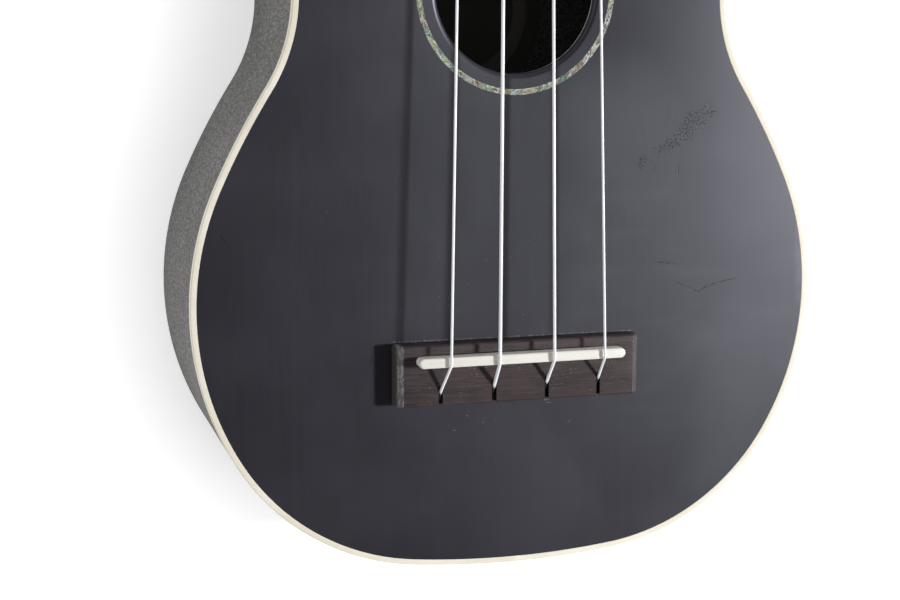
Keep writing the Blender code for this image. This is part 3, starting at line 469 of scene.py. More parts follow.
def makeBone(name, grooves=()):
    paint = Paint(name)
    streak = paint.noise(240, 4, 0.6, (0.08, 1, 1))
    cloud = paint.noise(70, 3, 0.5)
    mixed = (streak * 0.7 + cloud * 0.3).between(0.35, 0.7)
    base = paint.mix(mixed, (0.74, 0.72, 0.66), (0.81, 0.80, 0.755))
    for x in grooves:
        # a brownish patch where each string crosses the saddle: partly groove wear and partly painted shade
        # under the string
        tintPatch = paint.spot((x, 59, 8.4), (1.6, 4, 4)).between(0.0, 0.8)
        base = paint.mix(tintPatch * 0.2, base, (0.62, 0.53, 0.34))
    depth = {"Subsurface_Weight": 0.15, "Subsurface_Radius": (0.002, 0.0015, 0.001)}
    normal = paint.bump(streak, 0.05, 0.0002)
    return paint.finish(base, 0.27 + streak * 0.08, normal, **depth)


def makeNylon():
    paint = Paint("milkyNylon")
    cloud = paint.noise(300, 3, 0.5)
    base = paint.mix(cloud, (0.80, 0.82, 0.88), (0.90, 0.91, 0.94))
    # painted shade: the string's ends deep in the bridge's slots are painted near black, where the slot
    # shades them
    low, high = onTop(0, 53.0, 5.0), onTop(0, 54.0, 5.7)
    back = paint.axis("Y").fades(low[1], high[1])
    slotShade = back * paint.axis("Z").fades(low[2], high[2])
    base = paint.mix(slotShade, base, (0.012, 0.012, 0.014))
    return paint.finish(base, 0.2 + cloud * 0.1, Coat_Weight=0.3, Coat_Roughness=0.1)


shell = {"pieces": 60, "centre": (0, 155.7), "middle": 26.6}


def makeShell():
    paint = Paint("shellRing")
    local = paint.local(*shell["centre"])
    turn = paint.add("TexGradient", {"gradient_type": "RADIAL"}, {"Vector": local})
    out = paint.flatLength(local)
    slant = (out - shell["middle"] * mm) * 420
    count = turn * shell["pieces"] + paint.noise(150, 2, 0.5) * 1.2 + slant
    number = count.floor()
    across = count - number
    chance = paint.add("TexWhiteNoise", {"noise_dimensions": "1D"}, {"W": number})
    other = paint.add("TexWhiteNoise", {"noise_dimensions": "1D"}, {"W": number + 31.7})
    flakes = paint.noise(1000, 4, 0.65, vector=local, warp=1.2)
    picked = chance * 0.92 + (flakes - 0.5) * 0.5 + 0.02
    hues = [
        (0.0, (0.06, 0.14, 0.11)),
        (0.12, (0.24, 0.32, 0.20)),
        (0.24, (0.35, 0.32, 0.36)),
        (0.36, (0.26, 0.21, 0.16)),
        (0.48, (0.42, 0.43, 0.27)),
        (0.60, (0.24, 0.37, 0.29)),
        (0.72, (0.45, 0.41, 0.38)),
        (0.82, (0.30, 0.28, 0.16)),
        (0.92, (0.26, 0.36, 0.42)),
        (0.97, (0.06, 0.27, 0.60)),
        (1.0, (0.12, 0.62, 0.62)),
    ]
    base = paint.ramp(picked, hues)
    # fibres run round the ring and differ in each piece
    bent = {"X": turn * 0.167 + number * 0.01, "Y": out * 5.0 + slant * 0.0004}
    fibres = paint.noise(620, 4, 0.7, vector=paint.add("CombineXYZ", {}, bent), warp=0.8)
    base = paint.mix(fibres.between(0.53, 0.58) * (other * 0.9), base, (0.74, 0.80, 0.74))
    base = paint.mix(fibres.between(0.40, 0.46, 0.85, 0.0), base, (0.055, 0.042, 0.036))
    base = paint.mix(flakes.between(0.53, 0.59) * 0.75, base, (0.045, 0.040, 0.034))
    base = paint.mix(flakes.between(0.38, 0.44, 0.7, 0.0), base, (0.64, 0.68, 0.54))
    seam = (0.09 - across).above(0.0) * other.above(0.4)
    glue = paint.mix(chance, (0.03, 0.022, 0.02), (0.24, 0.11, 0.05))
    base = paint.mix(seam * 0.85, base, glue)
    coat = {"Coat_Weight": 0.4, "Coat_Roughness": 0.12}
    return paint.finish(base, 0.25 + flakes * 0.1, Metallic=0.1, **coat)


def makeMetal(name, dark, pale, gloss, brushed=(1, 1, 1)):
    paint = Paint(name)
    fine = paint.noise(1800, 3, 0.6, brushed)
    cloud = paint.noise(120, 3, 0.5)
    base = paint.mix((fine * 0.5 + cloud * 0.5).between(0.35, 0.65), dark, pale)
    tarnish = cloud.between(0.55, 0.75)
    rough = gloss + fine * 0.12 + tarnish * 0.06
    return paint.finish(base, rough, paint.bump(fine, 0.05, 0.0001), Metallic=1.0)


def makeButtonPlastic():
    paint = Paint("creamButton")
    swirl = paint.noise(110, 4, 0.5, vector=paint.place, warp=2.0)
    base = paint.mix(swirl.between(0.35, 0.65), (0.74, 0.69, 0.575), (0.84, 0.81, 0.72))
    return paint.finish(base, 0.2 + swirl * 0.08, Coat_Weight=0.3, Coat_Roughness=0.1)


def makeNeckWood():
    paint = Paint("darkNeckWood")
    grain = paint.noise(420, 5, 0.6, (1, 0.03, 1))
    pore = paint.noise(1900, 2, 0.5, (1, 0.05, 1)).between(0.56, 0.66)
    base = paint.mix(grain.between(0.35, 0.68), (0.022, 0.021, 0.022), (0.050, 0.047, 0.047))
    base = paint.mix(pore * 0.5, base, (0.009, 0.009, 0.009))
    normal = paint.bump(grain * 0.5 - pore * 0.5, 0.25, 0.0002)
    return paint.finish(base, 0.4 + grain * 0.12, normal)


label = {"x": -1.0, "y": 150.0, "radius": 27.0, "thick": 0.15, "lift": 0.02}
labelRing = {"outer": 22.0, "wide": 4.0, "blur": 0.4}


def makeLabelPaper():
    # plain paper with a paler ring
    paint = Paint("plainLabel")
    distance = paint.flatLength(paint.local(label["x"], label["y"]))
    outer, wide, blur = (labelRing[key] * mm for key in ("outer", "wide", "blur"))
    inner = outer - wide
    ring = distance.between(inner, inner + blur) * distance.fades(outer, outer + blur)
    fibre = paint.noise(1200, 3, 0.6)
    base = paint.mix(ring, (0.10, 0.10, 0.092), (0.22, 0.21, 0.19))
    base = paint.mix(fibre * 0.25, base, (0.03, 0.03, 0.03))
    return paint.finish(base, 0.8)


def makeDotShell():
    paint = Paint("pearlDot")
    swirl = paint.noise(260, 3, 0.5, vector=paint.place, warp=2.5)
    stops = [
        (0.35, (0.62, 0.66, 0.62)),
        (0.5, (0.80, 0.80, 0.76)),
        (0.65, (0.70, 0.64, 0.66)),
    ]
    base = paint.ramp(swirl, stops)
    return paint.finish(base, 0.22, Coat_Weight=0.3)


strings = {  # thickness, slot X, Y where it leaves the slot, X on the saddle, X at the nut
    "g": (0.75, -22.2, 50.7, -20.5, -13.8),
    "c": (0.95, -7.3, 51.6, -7.1, -4.4),
    "e": (0.85, 7.6, 51.8, 8.2, 4.9),
    "a": (0.70, 22.4, 52.0, 22.6, 14.4),
}

paints = {
    "top": makeBlackTop("blackTopStain", blackTop),
    "face": makeBlackTop("blackHeadVeneer", headFace, used=False),
    "side": makeSideWood(),
    "inner": makeInnerWood(),
    "binding": makeBinding(),
    "bridge": makeRosewood("bridgeRosewood", (0.05, 1, 1), litDustyEnds=True),
    "board": makeRosewood("boardRosewood", (1, 0.04, 1)),
    "saddle": makeBone("saddleBone", [value[3] for value in strings.values()]),
    "nut": makeBone("nutBone"),
    "nylon": makeNylon(),
    "shell": makeShell(),
    "neck": makeNeckWood(),
    "fret": makeMetal("fretWire", (0.62, 0.61, 0.57), (0.76, 0.75, 0.71), 0.2, (0.1, 1, 1)),
    "nickel": makeMetal("nickelPlate", (0.58, 0.57, 0.55), (0.72, 0.71, 0.69), 0.22),
    "steel": makeMetal("greasedSteel", (0.42, 0.41, 0.39), (0.60, 0.59, 0.57), 0.27),
    "brass": makeMetal("postBrass", (0.60, 0.43, 0.17), (0.78, 0.60, 0.28), 0.22),
    "button": makeButtonPlastic(),
    "label": makeLabelPaper(),
    "dot": makeDotShell(),
}
print("finishes made:", len(paints))


# Making pieces

def levelFace(face, flatOver):
    # a large flat face, or one of the triangles of a flat outline, isn't shaded round
    if flatOver and face.calc_area() > flatOver:
        return True
    beside = [e for e in face.edges if e.is_manifold]
    return len(face.verts) == 3 and any(e.calc_face_angle() < 0.2 * deg for e in beside)


def addObject(name, data):
    made = bpy.data.objects.new(name, data)
    bpy.context.scene.collection.objects.link(made)
    return made


def endPiece(bm, name, paint, place, node, smooth=35, flatOver=None, bodyName="instrument"):
    # the bmesh is in millimetres in its own frame, and place takes it to the world
    bmesh.ops.remove_doubles(bm, verts=bm.verts, dist=0.0005)
    bmesh.ops.recalc_face_normals(bm, faces=bm.faces)
    for face in bm.faces:
        face.smooth = not levelFace(face, flatOver)
    bmesh.ops.transform(bm, matrix=place, verts=bm.verts)
    if place.determinant() < 0:
        bmesh.ops.reverse_faces(bm, faces=bm.faces)
    mesh = bpy.data.meshes.new(name)
    bm.to_mesh(mesh)
    bm.free()
    mesh.materials.append(paints[paint])
    mesh.set_sharp_from_angle(angle=smooth * deg)
    piece = addObject(name, mesh)
    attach(piece, bodyName)
    if node:
        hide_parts(node)


def takeIn(bm, other):
    # adds another bmesh and frees it
    mesh = bpy.data.meshes.new("taken")
    other.to_mesh(mesh)
    other.free()
    bm.from_mesh(mesh)
    bpy.data.meshes.remove(mesh)


def only(kind, geom):
    return [part for part in geom if isinstance(part, kind)]


def everything(bm):
    return bm.verts[:] + bm.edges[:] + bm.faces[:]


def move(bm, vec, verts=None):
    bmesh.ops.translate(bm, verts=verts or bm.verts, vec=vec)


def rotate(bm, verts, angle, axis="Z"):
    bmesh.ops.rotate(bm, verts=verts, cent=(0, 0, 0), matrix=Matrix.Rotation(angle, 3, axis))


def spinRound(bm, geom, steps):
    bmesh.ops.spin(
        bm,
        geom=geom,
        cent=(0, 0, 0),
        axis=(0, 0, 1),
        angle=2 * math.pi,
        steps=steps,
        use_merge=True,
        use_duplicate=False,
    )


def soften(bm, edges, offset, segments=3):
    bmesh.ops.bevel(
        bm,
        geom=edges,
        offset=offset,
        segments=segments,
        profile=0.5,
        affect="EDGES",
        material=-1,
        clamp_overlap=True,
    )


def level(bm, z):
    return [e for e in bm.edges if all(abs(v.co.z - z) < 0.01 for v in e.verts)]


def rimAt(bm, z):
    # the sharp edges at a height
    return [e for e in level(bm, z) if e.is_manifold and e.calc_face_angle() > 1]


def isUpright(edge):
    first, last = edge.verts
    return abs(first.co.z - last.co.z) > 1


def carried(node, name, paint, edge, smooth=35):
    # a copy of the CAD piece with its flat faces joined and its edges broken
    bm = bmesh.new()
    bm.from_mesh(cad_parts[node].data)
    bmesh.ops.transform(bm, matrix=Matrix.Scale(1 / mm, 4), verts=bm.verts)
    bmesh.ops.remove_doubles(bm, verts=bm.verts, dist=0.002)
    bmesh.ops.dissolve_limit(bm, angle_limit=1.5 * deg, verts=bm.verts, edges=bm.edges)
    sharp = [e for e in bm.edges if e.is_manifold and e.calc_face_angle() > smooth * deg]
    soften(bm, sharp, edge, 2)
    endPiece(bm, name, paint, inMetres, node, smooth, flatOver=8)


def nextArc(bm, vert, heading, radius, sweep):
    # spins a vertex into an arc tangent to its heading
    centre = vert.co + radius * Vector((-math.sin(heading), math.cos(heading), 0))
    steps = max(2, math.ceil(abs(radius * sweep * deg) / body["step"]))
    made = bmesh.ops.spin(
        bm, geom=[vert], cent=centre, axis=(0, 0, 1), angle=sweep * deg, steps=steps, use_duplicate=False
    )
    return made["geom_last"][0], heading + sweep * deg


def halfOutline(bm, inset=0.0):
    # the right half of the body from the tail to the neck
    vert = bm.verts.new((0, inset, 0))
    heading = 0.0
    for radius, sweep in body["arcs"]:
        vert, heading = nextArc(bm, vert, heading, radius - inset, math.copysign(sweep, radius))
    endOnCentre(bm, vert, heading)


def endOnCentre(bm, vert, heading):
    # one last arc meets the centre line square
    vert, heading = nextArc(bm, vert, heading, vert.co.x / math.sin(heading), 180 - heading / deg)
    vert.co.x = 0


def mirrorAll(bm):
    bmesh.ops.mirror(bm, geom=everything(bm), matrix=Matrix.Identity(4), merge_dist=0.001, axis="X")


def fillOutline(bm):
    bmesh.ops.triangle_fill(bm, edges=bm.edges[:], use_beauty=True)


def raisePrism(bm, height):
    # pulls flat faces up or down into a solid, and gives the moved corners back
    made = bmesh.ops.extrude_face_region(bm, geom=bm.faces[:], use_keep_orig=True)
    moved = only(BMVert, made["geom"])
    move(bm, (0, 0, height), moved)
    return moved


# Body

hole = {
    "y": 155.7,
    "radius": 21.8,
    "rounding": 1.5,
    "sides": 160,
    "ringIn": 25.85,
    "ringOut": 27.35,
    "ringProud": 0.03,
    "ringDeep": 0.9,
}
bouts = {"lower": 110, "waistX": 62, "waistFrom": 120, "waistTo": 195}


def makeSoundboard():
    bm = bmesh.new()
    halfOutline(bm, body["bindingWide"])
    mirrorAll(bm)
    made = bmesh.ops.create_circle(bm, cap_ends=False, segments=hole["sides"], radius=hole["radius"])
    move(bm, (0, hole["y"], 0), made["verts"])
    fillOutline(bm)
    raisePrism(bm, -body["top"])
    centre = Vector((0, hole["y"]))
    rim = [e for e in level(bm, 0) if all(onCircle(v, centre, hole["radius"]) for v in e.verts)]
    soften(bm, rim, hole["rounding"], 6)
    endPiece(bm, "soundboardPlate", "top", topFrame, "soundboard", 30)


def onCircle(vert, centre, radius):
    return abs((vert.co.xy - centre).length - radius) < 0.05


def makeStrip(inset):
    # a flat strip along the right half of the body
    bm = bmesh.new()
    halfOutline(bm)
    halfOutline(bm, inset)
    bmesh.ops.bridge_loops(bm, edges=bm.edges[:])
    return bm


def makeBindingStrip():
    bm = makeStrip(body["bindingWide"])
    mirrorAll(bm)
    raisePrism(bm, -body["bindingHigh"])
    outer = [e for e in rimAt(bm, 0) if all(isOuter(v) for v in e.verts)]
    soften(bm, outer, body["bindingRound"], 4)
    endPiece(bm, "bindingStrip", "binding", topFrame, "top_binding", 40)


def isOuter(vert):
    # a corner of the binding's outer rim has an upright edge to its outside face
    upright = [e for e in vert.link_edges if isUpright(e)]
    if not upright:
        return False
    normal = sum((f.normal for f in upright[0].link_faces), Vector())
    x, y = vert.co.xy
    atWaist = abs(x) < bouts["waistX"] and bouts["waistFrom"] < y < bouts["waistTo"]
    return normal.dot(Vector((x, 0 if atWaist else y - bouts["lower"], 0))) > 0


def makeSide(name, node, side):
    bm = makeStrip(body["side"])
    move(bm, (0, 0, -body["bindingHigh"]))
    for vert in raisePrism(bm, -1):
        vert.co.z = backZ(vert.co.y) + body["back"]
    bmesh.ops.scale(bm, vec=(side, 1, 1), verts=bm.verts)
    endPiece(bm, name, "side", topFrame, node)


def makeBackPlate():
    bm = bmesh.new()
    halfOutline(bm)
    mirrorAll(bm)
    fillOutline(bm)
    raisePrism(bm, body["back"])
    soften(bm, rimAt(bm, 0), body["backRound"], 4)
    stretch = Matrix.Scale(1 / math.cos(taper), 4, (0, 1, 0))
    place = inMetres @ stretch @ Matrix.Translation((0, -body["originY"], 0))
    endPiece(bm, "backPlate", "side", place, "back")


def makeRosette():
    bm = bmesh.new()
    corners = [bm.verts.new((radius, 0, hole["ringProud"])) for radius in (hole["ringIn"], hole["ringOut"])]
    spinRound(bm, [*corners, bm.edges.new(corners)], hole["sides"])
    raisePrism(bm, -hole["ringDeep"])
    move(bm, (0, hole["y"], 0))
    endPiece(bm, "shellRosette", "shell", topFrame, "rosette", 40)


def makeLabel():
    bm = bmesh.new()
    bmesh.ops.create_circle(bm, cap_ends=True, segments=96, radius=label["radius"])
    raisePrism(bm, label["thick"])
    move(bm, (label["x"], label["y"] - body["originY"], body["back"] + label["lift"]))
    endPiece(bm, "plainPaperLabel", "label", inMetres, None)


makeSoundboard()
makeBindingStrip()
makeSide("sideStripRight", "side_right", 1)
makeSide("sideStripLeft", "side_left", -1)
makeBackPlate()
makeRosette()
makeLabel()
print("body made")

# Inside the body the CAD pieces stay as they are
inside = ("lining", "block", "brace", "bridge_plate")
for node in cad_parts:
    if not any(word in node for word in inside):
        continue
    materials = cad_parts[node].data.materials
    materials.clear()
    materials.append(paints["inner"])


# Bridge and saddle

saddle = {"y": 59.0, "half": 28.9, "thick": 2.7, "base": 1.4, "top": 8.75, "round": 1.15, "slack": 0.02}


def makeSaddle():
    bm = bmesh.new()
    high = saddle["top"] - saddle["base"]
    bmesh.ops.create_cube(bm, size=1)
    bmesh.ops.scale(bm, vec=(2 * saddle["half"], saddle["thick"], high), verts=bm.verts)
    upright = [e for e in bm.edges if isUpright(e)]
    soften(bm, upright, saddle["thick"] / 2 - saddle["slack"], 10)
    soften(bm, level(bm, high / 2), saddle["round"], 6)
    move(bm, (0, saddle["y"], saddle["base"] + high / 2))
    endPiece(bm, "saddleBar", "saddle", topFrame, "saddle", 50, flatOver=8)


carried("bridge", "bridgeBlock", "bridge", edge=0.14, smooth=15)
makeSaddle()
print("bridge made")


# Neck and head

def boardWide(y):
    share = (neck["nutY"] - y) / (neck["nutY"] - body["length"])
    return neck["nutWide"] + (neck["heelWide"] - neck["nutWide"]) * share


def neckDeep(y):
    shaft = neck["thick"] + neck["thicker"] * (neck["nutY"] - y) / (neck["nutY"] - neck["start"])
    along = (y - neck["start"]) / neck["heelLong"]
    if along >= 1:
        return shaft
    return shaft + (neck["heelDeep"] - shaft) * (1 - along ** neck["heelCurve"]) ** 2


def mixed(pair, share):
    return pair[0] + (pair[1] - pair[0]) * share


def shapeSection(verts, y):
    # turns a circle of verts, whose angles stay, into the neck's section at y
    half, deep = boardWide(y) / 2, neckDeep(y)
    square = min(1.0, max(0.0, (y - neck["end"]) / neck["blend"] + 1))
    square = square * square * (3 - 2 * square)
    deep += (neck["headThick"] / math.cos(neck["headAngle"] * deg) - deep) * square
    for i, vert in enumerate(verts):
        a = 2 * math.pi * i / len(verts)
        c, s = math.cos(a), math.sin(a)
        x = half * math.copysign(abs(c) ** mixed(neck["sideCurve"], square), c)
        z = -deep * abs(s) ** mixed(neck["backCurve"], square) if s > 0 else 0.0
        vert.co = (half * c if s <= 0 else x, y, z)


def spread(first, last, count):
    return [first + (last - first) * k / count for k in range(1, count + 1)]


def makeNeck():
    bm = bmesh.new()
    ring = bmesh.ops.create_circle(bm, cap_ends=True, segments=72, radius=10)["verts"]
    shapeSection(ring, neck["start"])
    edges = bm.edges[:]
    heelEnd, far = neck["start"] + neck["heelLong"], neck["end"] - neck["blend"]
    for y in spread(neck["start"], heelEnd, 24) + spread(heelEnd, far, 6) + spread(far, neck["end"], 10):
        made = bmesh.ops.extrude_edge_only(bm, edges=edges)["geom"]
        edges = only(BMEdge, made)
        shapeSection(orderedRing(only(BMVert, made), edges), y)
    bmesh.ops.contextual_create(bm, geom=edges)
    # the heel ends flat on its cap
    capTop = neck["capLift"] + neck["capHigh"] - body["neckDepth"]
    cut = bmesh.ops.bisect_plane(
        bm, geom=everything(bm), plane_co=(0, 0, capTop), plane_no=(0, 0, -1), clear_outer=True
    )
    bmesh.ops.contextual_create(bm, geom=only(BMEdge, cut["geom_cut"]))
    addHead(bm)
    endPiece(bm, "neckShaft", "neck", topFrame, "neck", 38)


def orderedRing(verts, edges):
    # walks round a ring from its corner on the right, down first, as its angles are counted
    around = [max(verts, key=lambda v: (round(v.co.x, 3), v.co.z))]
    left = set(edges)
    while len(around) < len(verts):
        here = around[-1]
        links = [e for e in here.link_edges if e in left]
        if len(around) == 1:
            links.sort(key=lambda e: e.other_vert(here).co.z)
        left.remove(links[0])
        around.append(links[0].other_vert(here))
    return around


head = {
    "shoulder": [(-16.0, 42.0), (14.0, 39.5)],
    "edge": 90.0,
    "corner": (7.0, 80.0),
    "overlap": 1.0,
    "round": 0.8,
    "roundFrom": 0.5,
    "faceFrom": 0.8,
    "faceRound": 0.35,
}


def headOutline(bm, startY):
    # the right half of the head, from the nut to its tip
    half = neck["nutWide"] / 2
    low = bm.verts.new((half, startY, 0))
    vert = bm.verts.new((half, 0, 0))
    bm.edges.new((low, vert))
    heading = 90 * deg
    for radius, sweep in head["shoulder"]:
        vert, heading = nextArc(bm, vert, heading, radius, math.copysign(sweep, radius))
    vert = bmesh.ops.extrude_vert_indiv(bm, verts=[vert])["verts"][0]
    vert.co += polar(head["edge"], heading)
    radius, sweep = head["corner"]
    vert, heading = nextArc(bm, vert, heading, radius, sweep)
    endOnCentre(bm, vert, heading)


def headPrism(startY, low, high):
    bm = bmesh.new()
    headOutline(bm, startY)
    mirrorAll(bm)
    ends = [v for v in bm.verts if abs(v.co.y - startY) < 0.01 and len(v.link_edges) == 1]
    bm.edges.new(ends)
    fillOutline(bm)
    move(bm, (0, 0, low))
    raisePrism(bm, high - low)
    return bm


def addHead(bm):
    # it reaches a little into the shaft, and its back edge is rounded beyond the nut
    slab = headPrism(-head["overlap"], -neck["headThick"], 0)
    bmesh.ops.recalc_face_normals(slab, faces=slab.faces)
    rim = rimAt(slab, -neck["headThick"])
    soften(slab, [e for e in rim if max(v.co.y for v in e.verts) > head["roundFrom"]], head["round"], 4)
    bmesh.ops.transform(slab, matrix=topFrame.inverted() @ headFrame, verts=slab.verts)
    takeIn(bm, slab)


def makeHeadFace():
    bm = headPrism(head["faceFrom"], 0.0, neck["face"])
    soften(bm, rimAt(bm, neck["face"]), head["faceRound"])
    endPiece(bm, "headVeneer", "face", headFrame, "headstock_face")


makeNeck()
makeHeadFace()
carried("heel_cap", "heelCapPlate", "binding", edge=0.3)
carried("fretboard", "fingerboard", "board", edge=0.15, smooth=40)
carried("nut", "nutBlock", "nut", edge=0.15)
for number in range(1, 13):
    carried(f"fret_{number:02d}", f"fretBar{number:02d}", "fret", edge=0.06, smooth=50)

dots = {"frets": (5, 7, 10), "radius": 2.0, "deep": 0.6, "proud": 0.03, "boardTop": 3.2, "scale": 346.0}


def fretY(number):
    return neck["nutY"] - dots["scale"] * (1 - 2 ** (-number / 12))


def makeDots():
    bm = bmesh.new()
    for number in dots["frets"]:
        made = bmesh.ops.create_circle(bm, cap_ends=True, segments=40, radius=dots["radius"])
        y = (fretY(number) + fretY(number - 1)) / 2
        move(bm, (0, y, dots["boardTop"] - dots["deep"]), made["verts"])
    raisePrism(bm, dots["deep"] + dots["proud"])
    endPiece(bm, "fretDots", "dot", topFrame, None)


makeDots()
print("neck made")


# Tuners: in their own frame Z comes out of the head's back along the post, and X points to the button

tuners = {"g": (-1, 16.0, 32.0), "c": (-1, 17.5, 76.0), "e": (1, 17.5, 76.0), "a": (1, 16.0, 32.0)}
gear = {"teeth": 14, "pitch": 4.6, "tip": 5.15, "root": 3.8, "thick": 3.0, "layers": 6, "z": 4.9}
worm = {
    "pitch": 2.4,
    "crest": 2.95,
    "root": 1.6,
    "reach": 2.95,
    "distance": 7.0,
    "shaft": 1.4,
    "ear": 4.0,
    "start": -6.3,
    "end": 18.4,
}
lead = 2 * math.pi * gear["pitch"] / gear["teeth"]
post = {"radius": 2.5, "waist": 2.3, "rise": 10.4, "hole": 7.2, "flange": 3.3}
knob = {"start": 13.0, "sides": 48, "flatter": 0.41, "flatFrom": 1.4, "flatOver": 3.4}
bushing = [(2.9, -6.0), (3.9, -6.0), (3.9, 0.0), (4.8, 0.0), (4.8, 0.55)]
bushing += [(4.55, 0.95), (4.1, 1.15), (3.4, 1.2), (3.0, 1.05), (2.9, 0.85)]
screw = [(0, -0.4), (0.95, -0.4), (0.95, 1.5), (1.75, 1.55), (1.6, 1.95), (1.2, 2.3), (0.6, 2.45), (0, 2.5)]
screwPlaces = (-7.2, 11.6)


def tunerFrame(name):
    side, x, y = tuners[name]
    turn = Matrix(((side, 0, 0, 0), (0, -side, 0, 0), (0, 0, -1, 0), (0, 0, 0, 1)))
    return headFrame @ Matrix.Translation((side * x, y, -neck["headThick"])) @ turn


def wormFrame(name):
    return tunerFrame(name) @ Matrix.Translation((0, tuners[name][0] * worm["distance"], gear["z"]))


def lathe(bm, profile, steps, axis="Z"):
    # a chain of (radius, height) corners spun all the way round
    chain = [bm.verts.new((r, 0, z)) for r, z in profile]
    edges = [bm.edges.new(pair) for pair in zip(chain, chain[1:])]
    spinRound(bm, chain + edges, steps)
    if axis == "X":
        rotate(bm, bm.verts, 90 * deg, "Y")


def addGear(bm, side):
    # a toothed disc, raised in layers that are twisted to suit the worm
    start = len(bm.verts)
    # half a tooth, as radius and share of the step from tooth to tooth
    shape = [
        (gear["root"], -0.27),
        (gear["pitch"] - 0.1, -0.20),
        (gear["tip"] - 0.1, -0.135),
        (gear["tip"], -0.09),
    ]
    shape += [(radius, -share) for radius, share in reversed(shape)]
    corners = gear["teeth"] * len(shape)
    ring = bmesh.ops.create_circle(bm, cap_ends=True, segments=corners, radius=gear["root"])["verts"]
    step = 2 * math.pi / gear["teeth"]
    for i, vert in enumerate(ring):
        radius, share = shape[i % len(shape)]
        a = 90 * deg + (i // len(shape) + share) * step
        vert.co = polar(radius, a, gear["z"] - gear["thick"] / 2)
    faces = list(ring[0].link_faces)
    twist = lead / (2 * math.pi * worm["pitch"]) / gear["pitch"]
    rotate(bm, ring, -twist * gear["thick"] / 2)
    thin = gear["thick"] / gear["layers"]
    for layer in range(gear["layers"]):
        made = bmesh.ops.extrude_face_region(bm, geom=faces, use_keep_orig=layer == 0)["geom"]
        faces = only(BMFace, made)
        moved = only(BMVert, made)
        move(bm, (0, 0, thin), moved)
        rotate(bm, moved, twist * thin)
    bm.verts.ensure_lookup_table()
    if side < 0:
        rotate(bm, bm.verts[start:], math.pi)


def makePost(name):
    bm = bmesh.new()
    front = -(neck["headThick"] + neck["face"])
    tip = front - post["rise"]
    r, waist, flange = post["radius"], post["waist"], post["flange"]
    profile = [(0, tip), (r - 0.6, tip), (r - 0.15, tip + 0.15), (r, tip + 0.6), (r, tip + 1.5)]
    profile += [(waist, tip + 1.9), (waist, front - 2.2), (r, front - 1.8), (r, 1.9)]
    profile += [(flange, 1.9), (flange, 3.6), (1.7, gear["z"] + 1.3), (1.7, 7.2), (1.5, 7.4), (0, 7.4)]
    lathe(bm, profile, 48)
    addGear(bm, tuners[name][0])
    called, node = f"stringPost{name.upper()}", f"string_post_{name}"
    endPiece(bm, called, "brass", tunerFrame(name), node, bodyName=f"post_{name}")


def makeWorm(name):
    bm = bmesh.new()
    shaft, root, ear, crest, reach = (worm[key] for key in ("shaft", "root", "ear", "crest", "reach"))
    start, end = worm["start"], worm["end"]
    profile = [(0, start), (shaft - 0.2, start), (shaft, start + 0.2), (shaft, -ear), (root, -ear)]
    profile += [(root, ear), (shaft, ear), (shaft, end), (0, end)]
    lathe(bm, profile, 40, "X")
    # the thread is a small tooth profile spun along the shaft, with its groove towards the wheel
    half = [(-0.62, root - 0.3), (-0.24, crest - 0.05), (-0.14, crest)]
    tooth = half + [(-x, r) for x, r in reversed(half)]
    facing = math.pi if tuners[name][0] > 0 else 0.0
    rake = Matrix.Rotation(facing + 2 * math.pi * (-reach / lead - 0.5), 3, "X")
    corners = [bm.verts.new(rake @ Vector((x - reach, r, 0))) for x, r in tooth]
    face = bm.faces.new(corners)
    steps = 36
    count = round(2 * reach / lead * steps)
    bmesh.ops.spin(
        bm,
        geom=[*corners, *face.edges, face],
        cent=(0, 0, 0),
        axis=(1, 0, 0),
        dvec=(lead / steps, 0, 0),
        angle=2 * math.pi * count / steps,
        steps=count,
        use_duplicate=False,
    )
    called, node = f"wormShaft{name.upper()}", f"worm_shaft_{name}"
    endPiece(bm, called, "steel", wormFrame(name), node, bodyName=f"knob_{name}")


def makeButton(name):
    bm = bmesh.new()
    stations = [(0, 0), (2.0, 0), (2.3, 0.3), (2.5, 1.4), (2.9, 1.75), (3.9, 1.95), (5.2, 2.7), (6.35, 4.0)]
    stations += [(7.1, 6.0), (7.3, 7.9), (7.05, 9.9), (6.3, 11.6), (5.0, 13.1), (3.3, 14.0), (1.6, 14.35)]
    lathe(bm, [(r, knob["start"] + x) for r, x in [*stations, (0, 14.4)]], knob["sides"], "X")
    for vert in bm.verts:
        along = (vert.co.x - knob["start"] - knob["flatFrom"]) / knob["flatOver"]
        vert.co.z *= 1.0 - knob["flatter"] * min(1.0, max(0.0, along))
    called, node = f"tunerButton{name.upper()}", f"tuner_button_{name}"
    endPiece(bm, called, "button", wormFrame(name), node, 45, bodyName=f"knob_{name}")


def makeBushing(name):
    side, x, y = tuners[name]
    bm = bmesh.new()
    corners = [bm.verts.new((r, 0, z)) for r, z in bushing]
    edges = [bm.edges.new(pair) for pair in zip(corners, corners[1:] + corners[:1])]
    spinRound(bm, corners + edges, 48)
    place = headFrame @ Matrix.Translation((side * x, y, neck["face"]))
    endPiece(bm, f"postBushing{name.upper()}", "nickel", place, f"post_bushing_{name}")


def makeScrews(name):
    bm = bmesh.new()
    for y in screwPlaces:
        one = bmesh.new()
        lathe(one, screw, 32)
        move(one, (0, tuners[name][0] * y, 0))
        takeIn(bm, one)
    endPiece(bm, f"plateScrews{name.upper()}", "nickel", tunerFrame(name), None)


for name in tuners:
    carried(f"tuner_plate_{name}", f"tunerPlate{name.upper()}", "nickel", edge=0.12)
    makePost(name)
    makeWorm(name)
    makeButton(name)
    makeBushing(name)
    makeScrews(name)
print("tuners made")


# Strings: each runs from its knot over the saddle and the nut to its post, and is wound up it

